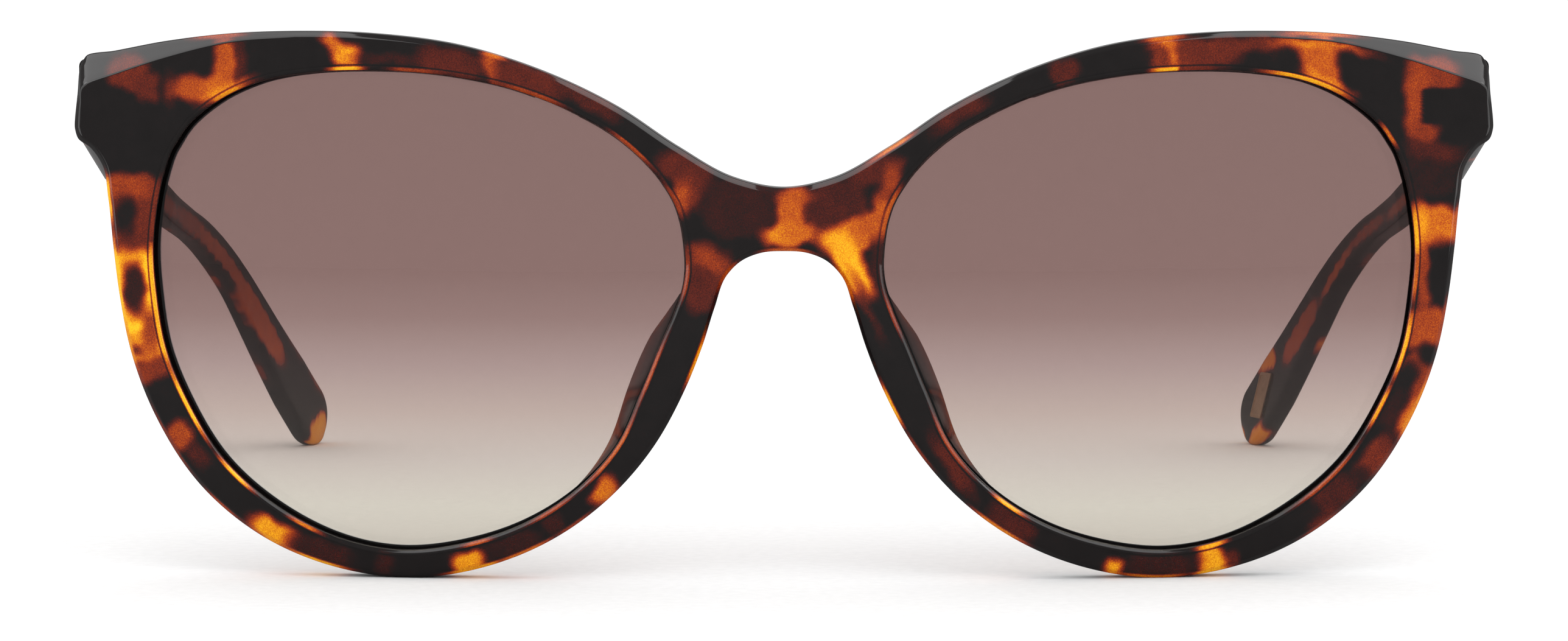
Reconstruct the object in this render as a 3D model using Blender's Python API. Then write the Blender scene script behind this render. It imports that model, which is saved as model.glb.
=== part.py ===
"""Cat eye sunglasses: moulded front, two curved lenses, two folding temples on five-barrel hinges.

Frame of the part: +Z up, the lenses face -Y, the temples run back along +Y, and the rest pose is
the open one. The origin is at the bottom centre of the whole object's box. "Left" and "right" are
the wearer's own, so left is +X. Sizes below are in millimetres; MM turns them into metres.
"""

import math

import bmesh
import bpy
from mathutils import Vector

MM = 0.001

# Front surface: a base-4 sphere, wrapped a little about the nose
LENS_RADIUS = 132.0
WRAP = math.tan(math.radians(6.0))
LENS_MID_X = 36.0
LENS_MID_Z = 27.0
BRIDGE_SOFTNESS = 6.0
FRONT_SETBACK = 0.73

# Section of the rim, measured back from the front surface
RIM_THICKNESS = 3.8
EDGE_BEVEL = 0.5
OPENING_BEVEL = 0.4
GROOVE_FRONT = 0.95
GROOVE_BACK = 3.05
GROOVE_DEPTH = 0.55
GROOVE_SLOPE = 0.1
FACET_SLOPE = 0.75
SMOOTH_ANGLE = 35.0

# End pieces, which carry the hinges
END_BACK = 14.6
END_BLEND_X = (61.5, 64.5)
END_BLEND_Z = (39.5, 43.5)

# Nose pads, moulded in one piece with the rims
PAD_STATIONS = (28.3, 34.3)
PAD_BACK = 5.5
PAD_FLARE = 1.7

# Lenses
LENS_CLEARANCE = 0.05
LENS_RINGS = (0.95, 0.62, 0.3)

# Hinges: five barrels on one screw
PIVOT_X = 67.1
PIVOT_Y = END_BACK + 0.1
PIVOT_Z = 47.6
BARREL_RADIUS = 1.2
BARREL_HEIGHT = 0.8
BARREL_GAP = 0.1
HOLE_RADIUS = 0.62
SCREW_RADIUS = 0.55
SCREW_HEAD_RADIUS = 1.05
SCREW_HEAD_HEIGHT = 0.5
SCREW_HEAD_GAP = 0.03
SCREW_SLOT = 0.3
ROUND_SIDES = 20
HINGE_HALF_HEIGHT = 2.2
FRONT_LEAF_X = (64.9, 69.1)
FRONT_LEAF_Y = (12.25, 13.35)
TEMPLE_LEAF_X = (68.55, 69.45)
TEMPLE_LEAF_Y = (14.95, 20.8)
WEB_WIDTH = 0.98
WEB_OVERLAP = 0.4
POCKET_CLEARANCE = 0.1
RECESS_CLEARANCE = 0.05
SCREW_HEAD_ROOM = 0.7

# Temples: side path, thickness and height against the length from the hinge
TEMPLE_LENGTH = 140.0
BUTT_GAP = 0.15
OUTER_X = 71.8
SIDE_ANGLES = (
    (0.0, 12.0), (80.0, 12.0), (87.0, 15.0), (98.0, 26.0), (109.0, 36.2), (116.0, 37.8), (140.0, 37.4),
)
PLAN_ANGLES = ((0.0, -1.1), (30.0, -1.1), (72.0, 2.6), (100.0, 13.4), (140.0, 20.0))
HEIGHTS = (
    (0.0, 8.4), (25.0, 8.8), (45.0, 6.0), (62.0, 4.2), (85.0, 3.5), (105.0, 4.6), (128.0, 7.2), (140.0, 7.2),
)
THICKNESSES = ((0.0, 3.4), (30.0, 2.5), (140.0, 2.5))
TEMPLE_STATIONS = (0, 12.5, 25, 35, 45, 54, 62, 70, 78, 84, 90, 96, 102, 108, 114, 121, 128, 132.5)
TIP_RADIUS = 5.0
TIP_STEPS = 4
TIP_THINNEST = 0.35
TIP_CAP = (0.02, 0.12)
SECTION_CORNER = 0.7
SECTION_CORNER_STEPS = 2

# Flat steel core wires inside the temples, and the channels that hold them
CORE_RANGE = (1.0, 114.0)
CORE_THICKNESS = 0.8
CORE_HEIGHT = 2.0
CORE_INSET = 1.25
CORE_CORNER = 0.25
CORE_CLEARANCE = 0.1

# Plain plaque on the inner side of the left tip
PLAQUE_AT = 131.0
PLAQUE_THICKNESS = 0.25
PLAQUE_GAP = 0.05
PLAQUE_OUTLINE = ((-4.3, 0.4), (1.9, -2.2), (4.4, -0.3), (-1.8, 2.3))

# The front, station by station, seen from the front on its +X half: a point of the lens opening,
# and the matching point of the outer outline. It starts at the top of the bridge and runs over the
# brow, round the end piece and the lower rim, and up the nose side to the underside of the bridge.
# The last two stations cross the bridge on the plane of symmetry.
STATIONS = (
    ((12.0, 39.6), (0.0, 39.4)),
    ((13.6, 41.6), (5.0, 40.4)),
    ((16.6, 44.3), (10.6, 43.5)),
    ((20.5, 46.6), (16.5, 47.4)),
    ((26.5, 49.0), (24.3, 51.1)),
    ((33.0, 50.4), (32.5, 53.6)),
    ((40.2, 51.0), (41.0, 54.7)),
    ((47.0, 50.8), (49.0, 54.9)),
    ((52.3, 49.9), (56.0, 54.6)),
    ((56.3, 48.2), (62.5, 53.8)),
    ((58.6, 46.6), (68.0, 52.9)),
    ((59.6, 45.7), (71.15, 52.15)),
    ((60.2, 45.0), (71.5, 51.6)),
    ((61.0, 43.8), (71.7, 48.2)),
    ((61.6, 42.8), (71.85, 44.9)),
    ((61.9, 42.1), (71.55, 44.0)),
    ((62.2, 41.2), (70.2, 43.0)),
    ((62.6, 39.8), (68.9, 41.2)),
    ((63.1, 37.2), (68.3, 38.0)),
    ((63.5, 33.0), (67.75, 33.0)),
    ((63.2, 28.5), (67.1, 28.0)),
    ((62.2, 22.8), (65.9, 22.2)),
    ((60.1, 17.7), (63.4, 15.8)),
    ((56.3, 11.7), (58.8, 8.9)),
    ((50.6, 6.9), (52.2, 3.7)),
    ((44.6, 4.0), (44.6, 0.8)),
    ((38.5, 2.9), (37.0, 0.0)),
    ((32.0, 3.7), (30.0, 1.2)),
    ((26.2, 5.7), (23.5, 3.9)),
    ((20.8, 9.2), (17.6, 8.2)),
    ((16.8, 13.6), (13.1, 13.4)),
    ((14.2, 19.3), (10.0, 19.0)),
    ((12.2, 24.2), (8.1, 23.7)),
    ((10.9, 27.2), (6.9, 27.5)),
    ((10.1, 29.6), (5.7, 30.7)),
    ((9.85, 31.5), (4.3, 32.1)),
    ((9.9, 32.8), (2.4, 32.9)),
    ((10.05, 34.3), (0.0, 33.1)),
    ((10.35, 36.0), (0.0, 35.2)),
    ((11.0, 37.9), (0.0, 37.3)),
)
UNDERSIDE_STATION = 37

# Where the flat of the front ends against the large facet over each end piece
FACET_EDGE = {
    8: (56.0, 53.7),
    9: (62.3, 52.0),
    10: (67.4, 50.5),
    11: (70.6, 49.5),
    12: (71.15, 49.0),
    13: (71.3, 47.4),
    14: (71.4, 45.1),
}
STEPS_PER_STATION = 2
FACE_FRACTIONS = (0.5,)
BACK_FRACTIONS = (0.7, 0.45, 0.2)


# ---------------------------------------------------------------- curves and profiles

def smoothstep(value, low, high):
    t = min(max((value - low) / (high - low), 0.0), 1.0)
    return t * t * (3.0 - 2.0 * t)


def table(rows, value):
    """Straight-line reading of a table of (position, amount) rows."""
    for (a, low), (b, high) in zip(rows, rows[1:]):
        if value <= b:
            return low + (high - low) * (value - a) / (b - a)
    return rows[-1][1]


def spline(points, steps, closed):
    """Smooth curve through uneven points, with `steps` samples for each span."""
    count = len(points)
    spans = count if closed else count - 1
    samples = []
    for i in range(spans):
        p1 = points[i]
        p2 = points[(i + 1) % count]
        p0 = points[(i - 1) % count] if closed or i > 0 else p1 - (p2 - p1)
        p3 = points[(i + 2) % count] if closed or i + 2 < count else p2 + (p2 - p1)
        d0 = (p1 - p0).length
        d1 = (p2 - p1).length
        d2 = (p3 - p2).length
        start = ((p1 - p0) / d0 * d1 + (p2 - p1) / d1 * d0) / (d0 + d1) * d1
        end = ((p2 - p1) / d1 * d2 + (p3 - p2) / d2 * d1) / (d1 + d2) * d1
        for k in range(steps):
            t = k / steps
            a = 2 * t ** 3 - 3 * t ** 2 + 1
            b = t ** 3 - 2 * t ** 2 + t
            c = 3 * t ** 2 - 2 * t ** 3
            d = t ** 3 - t ** 2
            samples.append(p1 * a + start * b + p2 * c + end * d)
    if not closed:
        samples.append(points[-1].copy())
    return samples


def front_depth(x, z):
    """How far the front surface lies behind the object's foremost plane."""
    out = math.hypot(x, BRIDGE_SOFTNESS) - LENS_MID_X
    up = z - LENS_MID_Z
    return (out * out + up * up) / (2.0 * LENS_RADIUS) + out * WRAP + FRONT_SETBACK


def back_depth(x, z):
    """The back of the rims, which steps out to the flat back of the end pieces."""
    rim = front_depth(x, z) + RIM_THICKNESS
    weight = smoothstep(abs(x), *END_BLEND_X) * smoothstep(z, *END_BLEND_Z)
    return rim + (END_BACK - rim) * weight


# ---------------------------------------------------------------- meshes and objects

def make_material(name, colour, roughness, metallic=0.0, transmission=0.0):
    material = bpy.data.materials.new(name)
    material.use_nodes = True
    shader = material.node_tree.nodes["Principled BSDF"]
    shader.inputs["Base Color"].default_value = (*colour, 1.0)
    shader.inputs["Roughness"].default_value = roughness
    shader.inputs["Metallic"].default_value = metallic
    shader.inputs["Transmission Weight"].default_value = transmission
    return material


def tortoise(name):
    return make_material(name, (0.12, 0.04, 0.015), 0.15)


def steel(name):
    return make_material(name, (0.6, 0.58, 0.55), 0.3, metallic=1.0)


def make_object(name, points, faces, material, origin=(0.0, 0.0, 0.0), smooth_angle=SMOOTH_ANGLE):
    """One closed mesh from points in millimetres, with its origin at `origin`."""
    origin = Vector(origin)
    mesh = bpy.data.meshes.new(name)
    mesh.from_pydata([(Vector(p) - origin) * MM for p in points], [], faces)
    shell = bmesh.new()
    shell.from_mesh(mesh)
    bmesh.ops.remove_doubles(shell, verts=shell.verts, dist=1e-3 * MM)
    bmesh.ops.recalc_face_normals(shell, faces=shell.faces)
    shell.to_mesh(mesh)
    shell.free()
    mesh.shade_smooth()
    mesh.set_sharp_from_angle(angle=math.radians(smooth_angle))
    part = bpy.data.objects.new(name, mesh)
    part.location = origin * MM
    bpy.context.collection.objects.link(part)
    mesh.materials.append(material)
    return part


def ring_faces(rings, around, closed_along=False):
    """Quads between rings of `around` points each; the rings are consecutive in the point list."""
    faces = []
    last = rings if closed_along else rings - 1
    for i in range(last):
        j = (i + 1) % rings
        for k in range(around):
            m = (k + 1) % around
            faces.append((i * around + k, i * around + m, j * around + m, j * around + k))
    return faces


def prism(name, outline, low, high, material, origin=(0.0, 0.0, 0.0)):
    """An outline in X and Y, extruded between two heights."""
    count = len(outline)
    points = [(x, y, z) for z in (low, high) for x, y in outline]
    faces = ring_faces(2, count)
    faces.append(tuple(range(count)))
    faces.append(tuple(range(count, 2 * count)))
    return make_object(name, points, faces, material, origin)


def box(name, xs, ys, zs, material, origin=(0.0, 0.0, 0.0)):
    outline = ((xs[0], ys[0]), (xs[1], ys[0]), (xs[1], ys[1]), (xs[0], ys[1]))
    return prism(name, outline, zs[0], zs[1], material, origin)


def circle(x, y, radius):
    turns = [2.0 * math.pi * k / ROUND_SIDES for k in range(ROUND_SIDES)]
    return [(x + radius * math.cos(a), y + radius * math.sin(a)) for a in turns]


def combine(target, tool, operation):
    """Apply a Boolean of `tool` to `target`, and delete the tool."""
    change = target.modifiers.new(operation, "BOOLEAN")
    change.operation = operation
    change.object = tool
    bpy.context.view_layer.update()
    result = bpy.data.meshes.new_from_object(target.evaluated_get(bpy.context.evaluated_depsgraph_get()))
    target.modifiers.clear()
    target.data = result
    result.set_sharp_from_angle(angle=math.radians(SMOOTH_ANGLE))
    bpy.data.objects.remove(tool)


def mirrored(points, side):
    return [(p[0] * side, p[1], p[2]) for p in points]


def sides():
    """The wearer's left is +X."""
    return (("left", 1.0), ("right", -1.0))


# ---------------------------------------------------------------- front frame and lenses

def station_curves():
    """Matching samples of the lens opening, the outer outline and the edge of the front's flat."""
    opening = spline([Vector(s[0]) for s in STATIONS], STEPS_PER_STATION, closed=True)
    rim = [Vector(s[1]) for s in STATIONS[:UNDERSIDE_STATION + 1]]
    mirror_start = Vector((-rim[1].x, rim[1].y))
    mirror_end = Vector((-rim[-2].x, rim[-2].y))
    outline = spline([mirror_start, *rim, mirror_end], STEPS_PER_STATION, closed=False)
    outline = outline[STEPS_PER_STATION:-STEPS_PER_STATION - 1]
    bridge = [rim[-1], *[Vector(s[1]) for s in STATIONS[UNDERSIDE_STATION + 1:]], rim[0]]
    for a, b in zip(bridge, bridge[1:]):
        outline += [a.lerp(b, k / STEPS_PER_STATION) for k in range(STEPS_PER_STATION)]
    return opening, outline


def facet_points(outline):
    """The front's flat stops one bevel inside the outline, and further in under the big facets."""
    on_outline = UNDERSIDE_STATION * STEPS_PER_STATION
    first, last = min(FACET_EDGE), max(FACET_EDGE)
    knots = [FACET_EDGE[i] for i in range(first, last + 1)]
    facet = spline([Vector(p) for p in knots], STEPS_PER_STATION, closed=False)
    edge = []
    for i, point in enumerate(outline):
        if i > on_outline:
            edge.append(point.copy())
        elif first * STEPS_PER_STATION <= i <= last * STEPS_PER_STATION:
            edge.append(facet[i - first * STEPS_PER_STATION])
        else:
            edge.append(point + inward(outline, i, on_outline) * EDGE_BEVEL)
    return edge


def inward(outline, i, on_outline):
    """Unit normal of the outer outline, pointing into the rim."""
    if i in (0, on_outline):
        return Vector((0.0, -1.0 if i == 0 else 1.0))
    along = (outline[i + 1] - outline[i - 1]).normalized()
    return Vector((along.y, -along.x))


def pad_weight(i):
    """How much of the nose pad stands at sample i: nothing outside its stations, 1 in the middle."""
    low, high = PAD_STATIONS
    t = (i / STEPS_PER_STATION - low) / (high - low)
    return math.sin(math.pi * t) ** 2 if 0.0 < t < 1.0 else 0.0


def rim_section(i, inner, outer, edge, outline):
    """One closed section of the rim: (x, z, depth) points from the lens opening round to it again."""
    on_outline = UNDERSIDE_STATION * STEPS_PER_STATION
    across = (outer - inner).normalized()
    on_bridge = i > on_outline
    drop = max((edge - outer).length * FACET_SLOPE, EDGE_BEVEL) if not on_bridge else 0.0
    back_edge = outer if on_bridge else outer + inward(outline, i, on_outline) * EDGE_BEVEL
    lip = inner + across * OPENING_BEVEL
    groove = inner + across * GROOVE_DEPTH
    pad = pad_weight(i)

    def front(point, extra=0.0):
        return (point.x, point.y, front_depth(point.x, point.y) + extra)

    def back(point, extra=0.0, share=1.0):
        depth = back_depth(point.x, point.y) + extra + pad * share * PAD_BACK
        return (point.x + pad * share * PAD_FLARE, point.y, depth)

    section = [front(lip)]
    section += [front(lip.lerp(edge, f)) for f in FACE_FRACTIONS]
    section += [front(edge), front(outer, drop)]
    bevel = 0.0 if on_bridge else -EDGE_BEVEL
    section += [back(outer, bevel, 0.8), back(back_edge)]
    section += [back(lip.lerp(back_edge, f)) for f in BACK_FRACTIONS]
    section += [back(lip), back(inner, -OPENING_BEVEL, 0.9)]
    section += [front(inner, GROOVE_BACK), front(groove, GROOVE_BACK - GROOVE_SLOPE)]
    section += [front(groove, GROOVE_FRONT + GROOVE_SLOPE), front(inner, GROOVE_FRONT)]
    section += [front(inner, OPENING_BEVEL)]
    return [(x, y, z) for x, z, y in section]


def build_front(material):
    opening, outline = station_curves()
    edge = facet_points(outline)
    sections = [rim_section(i, opening[i], outline[i], edge[i], outline) for i in range(len(outline))]
    around = len(sections[0])
    half = [point for section in sections for point in section]
    quads = ring_faces(len(sections), around, closed_along=True)
    skin = [q for q in quads if any(abs(half[v][0]) > 1e-6 for v in q)]
    points = half + mirrored(half, -1.0)
    faces = skin + [tuple(v + len(half) for v in reversed(q)) for q in skin]
    front = make_object("front_frame", points, faces, material)
    for side_name, side in sides():
        pocket = hinge_pocket(f"pocket_{side_name}", side, material)
        combine(front, pocket, "DIFFERENCE")
    return front


def hinge_pocket(name, side, material):
    """The recess in an end piece's back that the hinge leaf sits in."""
    gap = POCKET_CLEARANCE
    xs = (side * (FRONT_LEAF_X[0] - gap), side * (FRONT_LEAF_X[1] + gap))
    ys = (FRONT_LEAF_Y[0] - gap, END_BACK + 1.0)
    zs = (PIVOT_Z - HINGE_HALF_HEIGHT - gap, PIVOT_Z + HINGE_HALF_HEIGHT + SCREW_HEAD_ROOM)
    return box(name, xs, ys, zs, material)


def build_lens(side_name, side, material):
    """A lens of even thickness, ground to sit in the rim's groove."""
    opening, outline = station_curves()
    reach = GROOVE_DEPTH - LENS_CLEARANCE
    rim = [p + (o - p).normalized() * reach for p, o in zip(opening, outline)]
    centre = sum(rim, Vector((0.0, 0.0))) / len(rim)
    chamfer = LENS_CLEARANCE + GROOVE_SLOPE
    front_gap = GROOVE_FRONT + LENS_CLEARANCE
    back_gap = GROOVE_BACK - LENS_CLEARANCE
    shrink = LENS_RINGS
    rings = [(scale, front_gap) for scale in reversed(shrink)]
    rings += [(1.0, front_gap + chamfer), (1.0, back_gap - chamfer)]
    rings += [(scale, back_gap) for scale in shrink]
    points = []
    for scale, depth in rings:
        for p in rim:
            q = centre.lerp(p, scale)
            points.append((q.x * side, front_depth(q.x, q.y) + depth, q.y))
    count = len(rim)
    faces = ring_faces(len(rings), count)
    for depth, start in ((front_gap, 0), (back_gap, (len(rings) - 1) * count)):
        hub = len(points)
        points.append((centre.x * side, front_depth(centre.x, centre.y) + depth, centre.y))
        faces += [(hub, start + k, start + (k + 1) % count) for k in range(count)]
    return make_object(f"lens_{side_name}", points, faces, material, smooth_angle=50.0)


# ---------------------------------------------------------------- temples

def temple_frames(stations):
    """Place and directions of the outer face's middle line at each distance from the hinge."""
    frames = {}
    step = 0.5
    place = Vector((OUTER_X, END_BACK + BUTT_GAP, PIVOT_Z))
    for k in range(int(TEMPLE_LENGTH / step) + 1):
        at = k * step
        pitch = math.radians(table(SIDE_ANGLES, at))
        yaw = math.radians(table(PLAN_ANGLES, at))
        level = math.cos(pitch)
        along = Vector((-math.sin(yaw) * level, math.cos(yaw) * level, -math.sin(pitch)))
        outward = Vector((math.cos(yaw), math.sin(yaw), 0.0))
        frames[at] = (place.copy(), along, outward, outward.cross(along))
        place += along * step
    result = []
    for at in stations:
        low = math.floor(at / step) * step
        base, along, outward, up = frames[low]
        result.append((base + along * (at - low), along, outward, up))
    return result


def rounded_rectangle(depth_in, depth_out, half_height, corner):
    """Section points as (distance outward, height), with rounded corners."""
    corner = min(corner, half_height * 0.9, (depth_out - depth_in) * 0.45)
    points = []
    high = half_height - corner
    right, left = depth_out - corner, depth_in + corner
    centres = ((right, high), (left, high), (left, -high), (right, -high))
    for quarter, (x, z) in enumerate(centres):
        for k in range(SECTION_CORNER_STEPS + 1):
            a = 0.5 * math.pi * (quarter + k / SECTION_CORNER_STEPS)
            points.append((x + corner * math.cos(a), z + corner * math.sin(a)))
    return points


def tip_stations():
    """The last rings, which close the tip with a round end."""
    start = TEMPLE_LENGTH - TIP_RADIUS
    turns = [0.5 * math.pi * k / TIP_STEPS for k in range(TIP_STEPS)]
    rings = [(start + TIP_RADIUS * math.sin(a), math.cos(a)) for a in turns]
    return rings + [(TEMPLE_LENGTH - TIP_CAP[0], TIP_CAP[1])]


def sweep(rings):
    return [base + outward * u + up * v for (base, _, outward, up), section in rings for u, v in section]


def temple_shell():
    """The temple's outer surface and the blind channel for its core wire, open at the hinge end."""
    plan = [(at, 1.0) for at in TEMPLE_STATIONS] + tip_stations()
    frames = temple_frames([at for at, _ in plan])
    rings = []
    for (at, fullness), frame in zip(plan, frames):
        thickness = table(THICKNESSES, at)
        middle = -0.5 * thickness
        half = 0.5 * thickness * (TIP_THINNEST + (1.0 - TIP_THINNEST) * fullness)
        height = 0.5 * table(HEIGHTS, at) * fullness
        rings.append((frame, rounded_rectangle(middle - half, middle + half, height, SECTION_CORNER)))
    outer = sweep(rings)
    around = len(rings[0][1])
    for k in range(around):
        along = frames[0][1]
        outer[k] = outer[k] + along * ((END_BACK + BUTT_GAP - outer[k].y) / along.y)
    faces = ring_faces(len(rings), around)
    faces.append(tuple(range((len(rings) - 1) * around, len(rings) * around)))
    return outer, faces, around


def core_channel(clearance, low, high):
    """Rings of the flat core wire, or of its channel when it has a clearance."""
    stations = [low] + [at for at in TEMPLE_STATIONS if low < at < high] + [high]
    half_thickness = 0.5 * CORE_THICKNESS + clearance
    half_height = 0.5 * CORE_HEIGHT + clearance
    inner = -CORE_INSET - half_thickness
    section = rounded_rectangle(inner, inner + 2.0 * half_thickness, half_height, CORE_CORNER)
    rings = [(frame, section) for frame in temple_frames(stations)]
    return sweep(rings), len(rings), len(section)


def build_temple(side_name, side, material, pivot):
    outer, faces, around = temple_shell()
    channel, rings, _ = core_channel(CORE_CLEARANCE, 0.0, CORE_RANGE[1] + CORE_CLEARANCE)
    for k in range(around):
        channel[k].y = END_BACK + BUTT_GAP
    offset = len(outer)
    faces += [tuple(offset + v for v in quad) for quad in ring_faces(rings, around)]
    faces.append(tuple(range(offset + (rings - 1) * around, offset + rings * around)))
    faces += [(k, (k + 1) % around, offset + (k + 1) % around, offset + k) for k in range(around)]
    temple = make_object(f"temple_{side_name}", mirrored(outer + channel, side), faces, material, pivot)
    gap = RECESS_CLEARANCE
    recess = box(
        f"recess_{side_name}",
        (side * (TEMPLE_LEAF_X[0] - 1.0), side * (TEMPLE_LEAF_X[1] + gap)),
        (END_BACK - 1.0, TEMPLE_LEAF_Y[1] + gap),
        (PIVOT_Z - HINGE_HALF_HEIGHT - gap, PIVOT_Z + HINGE_HALF_HEIGHT + gap),
        material,
    )
    combine(temple, recess, "DIFFERENCE")
    return temple


def build_core(side_name, side, material, pivot):
    points, rings, around = core_channel(0.0, *CORE_RANGE)
    faces = ring_faces(rings, around)
    faces.append(tuple(range(around)))
    faces.append(tuple(range((rings - 1) * around, rings * around)))
    return make_object(f"core_wire_{side_name}", mirrored(points, side), faces, material, pivot)


def build_plaque(material, pivot):
    """A small plain lozenge that lies on the inner face of the left tip."""
    (base, along, outward, up), = temple_frames([PLAQUE_AT])
    face = base - outward * (table(THICKNESSES, PLAQUE_AT) + PLAQUE_GAP)
    points = []
    for lift in (0.0, PLAQUE_THICKNESS):
        points += [face - outward * lift + along * a + up * b for a, b in PLAQUE_OUTLINE]
    count = len(PLAQUE_OUTLINE)
    faces = ring_faces(2, count) + [tuple(range(count)), tuple(range(count, 2 * count))]
    return make_object("tip_plaque", points, faces, material, pivot)


# ---------------------------------------------------------------- hinges

def barrel_span(level):
    """Lowest and highest point of one of the five barrels, counted from the bottom."""
    pitch = BARREL_HEIGHT + BARREL_GAP
    middle = PIVOT_Z + (level - 2) * pitch
    return middle - 0.5 * BARREL_HEIGHT, middle + 0.5 * BARREL_HEIGHT


def drilled(leaf, side, material):
    """Bore the screw's hole through all of a leaf's barrels."""
    low, high = PIVOT_Z - 2 * HINGE_HALF_HEIGHT, PIVOT_Z + 2 * HINGE_HALF_HEIGHT
    drill = prism("drill", circle(side * PIVOT_X, PIVOT_Y, HOLE_RADIUS), low, high, material)
    combine(leaf, drill, "DIFFERENCE")
    return leaf


def add_barrels(leaf, levels, web_xs, web_ys, side, material):
    """Join barrels to a leaf, each on a straight web from the leaf to the hinge line."""
    for level in levels:
        low, high = barrel_span(level)
        web = box("web", (side * web_xs[0], side * web_xs[1]), web_ys, (low, high), material)
        barrel = prism("barrel", circle(side * PIVOT_X, PIVOT_Y, BARREL_RADIUS), low, high, material)
        combine(web, barrel, "UNION")
        combine(leaf, web, "UNION")


def build_front_leaf(side_name, side, material):
    xs = (side * FRONT_LEAF_X[0], side * FRONT_LEAF_X[1])
    zs = (PIVOT_Z - HINGE_HALF_HEIGHT, PIVOT_Z + HINGE_HALF_HEIGHT)
    leaf = box(f"front_leaf_{side_name}", xs, FRONT_LEAF_Y, zs, material)
    reach = WEB_WIDTH * BARREL_RADIUS
    web_ys = (FRONT_LEAF_Y[1] - WEB_OVERLAP, PIVOT_Y)
    add_barrels(leaf, (0, 2, 4), (PIVOT_X - reach, PIVOT_X + reach), web_ys, side, material)
    return drilled(leaf, side, material)


def build_temple_leaf(side_name, side, material, pivot):
    xs = (side * TEMPLE_LEAF_X[0], side * TEMPLE_LEAF_X[1])
    zs = (PIVOT_Z - HINGE_HALF_HEIGHT + BARREL_GAP, PIVOT_Z + HINGE_HALF_HEIGHT - BARREL_GAP)
    leaf = box(f"temple_leaf_{side_name}", xs, TEMPLE_LEAF_Y, zs, material, pivot)
    web_xs = (PIVOT_X, TEMPLE_LEAF_X[0] + WEB_OVERLAP)
    web_ys = (TEMPLE_LEAF_Y[0], PIVOT_Y + WEB_WIDTH * BARREL_RADIUS)
    add_barrels(leaf, (1, 3), web_xs, web_ys, side, material)
    return drilled(leaf, side, material)


def build_screw(side_name, side, material):
    """A slotted screw: the head rests on the top barrel, and the shank runs down all five."""
    top = barrel_span(4)[1] + SCREW_HEAD_GAP
    profile = (
        (SCREW_RADIUS, barrel_span(0)[0]),
        (SCREW_RADIUS, top),
        (SCREW_HEAD_RADIUS, top),
        (SCREW_HEAD_RADIUS, top + 0.6 * SCREW_HEAD_HEIGHT),
        (0.7 * SCREW_HEAD_RADIUS, top + SCREW_HEAD_HEIGHT),
    )
    points = [(x, y, z) for radius, z in profile for x, y in circle(side * PIVOT_X, PIVOT_Y, radius)]
    faces = ring_faces(len(profile), ROUND_SIDES)
    faces.append(tuple(range(ROUND_SIDES)))
    faces.append(tuple(range((len(profile) - 1) * ROUND_SIDES, len(profile) * ROUND_SIDES)))
    screw = make_object(f"hinge_screw_{side_name}", points, faces, material)
    half = 0.5 * SCREW_SLOT
    reach = 2.0 * SCREW_HEAD_RADIUS
    xs = (side * PIVOT_X - reach, side * PIVOT_X + reach)
    zs = (top + 0.5 * SCREW_HEAD_HEIGHT, top + 2.0 * SCREW_HEAD_HEIGHT)
    slot = box("slot", xs, (PIVOT_Y - half, PIVOT_Y + half), zs, material)
    combine(screw, slot, "DIFFERENCE")
    return screw


# ---------------------------------------------------------------- whole object

def centre_on_base():
    """Move everything so that the origin is at the bottom centre of the object's box."""
    bpy.context.view_layer.update()
    corners = [part.matrix_world @ v.co for part in bpy.data.objects for v in part.data.vertices]
    middle = 0.5 * (min(c.y for c in corners) + max(c.y for c in corners))
    floor = min(c.z for c in corners)
    for part in bpy.data.objects:
        part.location -= Vector((0.0, middle, floor))


def main():
    for leftover in list(bpy.data.objects):
        bpy.data.objects.remove(leftover)
    build_front(tortoise("front_tortoise"))
    for side_name, side in sides():
        pivot = (side * PIVOT_X, PIVOT_Y, PIVOT_Z)
        tint = make_material(f"lens_{side_name}_tint", (0.28, 0.2, 0.18), 0.05, transmission=0.8)
        build_lens(side_name, side, tint)
        build_temple(side_name, side, tortoise(f"temple_{side_name}_tortoise"), pivot)
        build_core(side_name, side, steel(f"core_{side_name}_steel"), pivot)
        build_front_leaf(side_name, side, steel(f"front_leaf_{side_name}_steel"))
        build_temple_leaf(side_name, side, steel(f"temple_leaf_{side_name}_steel"), pivot)
        build_screw(side_name, side, steel(f"screw_{side_name}_steel"))
    gold = make_material("plaque_gold", (0.75, 0.5, 0.28), 0.3, metallic=1.0)
    build_plaque(gold, (PIVOT_X, PIVOT_Y, PIVOT_Z))
    centre_on_base()


main()
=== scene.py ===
"""Cat eye sunglasses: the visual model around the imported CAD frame.

Metres, +Z up, the lenses face -Y, +X is the wearer's left. Lengths in the tables below are in
millimetres, as in the CAD source; MM turns them into metres.
"""

import math

import bmesh
import bpy
import numpy as np
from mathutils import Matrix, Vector


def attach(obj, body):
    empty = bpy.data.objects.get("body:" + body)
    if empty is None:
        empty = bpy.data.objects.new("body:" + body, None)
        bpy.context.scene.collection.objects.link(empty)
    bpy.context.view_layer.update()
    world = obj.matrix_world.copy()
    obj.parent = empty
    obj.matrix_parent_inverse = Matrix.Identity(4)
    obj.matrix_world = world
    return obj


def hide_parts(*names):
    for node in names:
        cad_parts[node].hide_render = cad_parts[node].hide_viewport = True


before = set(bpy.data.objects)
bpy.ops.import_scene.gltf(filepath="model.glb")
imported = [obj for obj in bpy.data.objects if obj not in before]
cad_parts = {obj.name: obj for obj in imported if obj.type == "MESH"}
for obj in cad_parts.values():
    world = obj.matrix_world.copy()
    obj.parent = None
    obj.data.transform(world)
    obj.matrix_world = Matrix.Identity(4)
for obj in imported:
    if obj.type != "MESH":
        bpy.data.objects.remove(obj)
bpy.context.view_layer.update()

MM = 0.001
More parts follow.
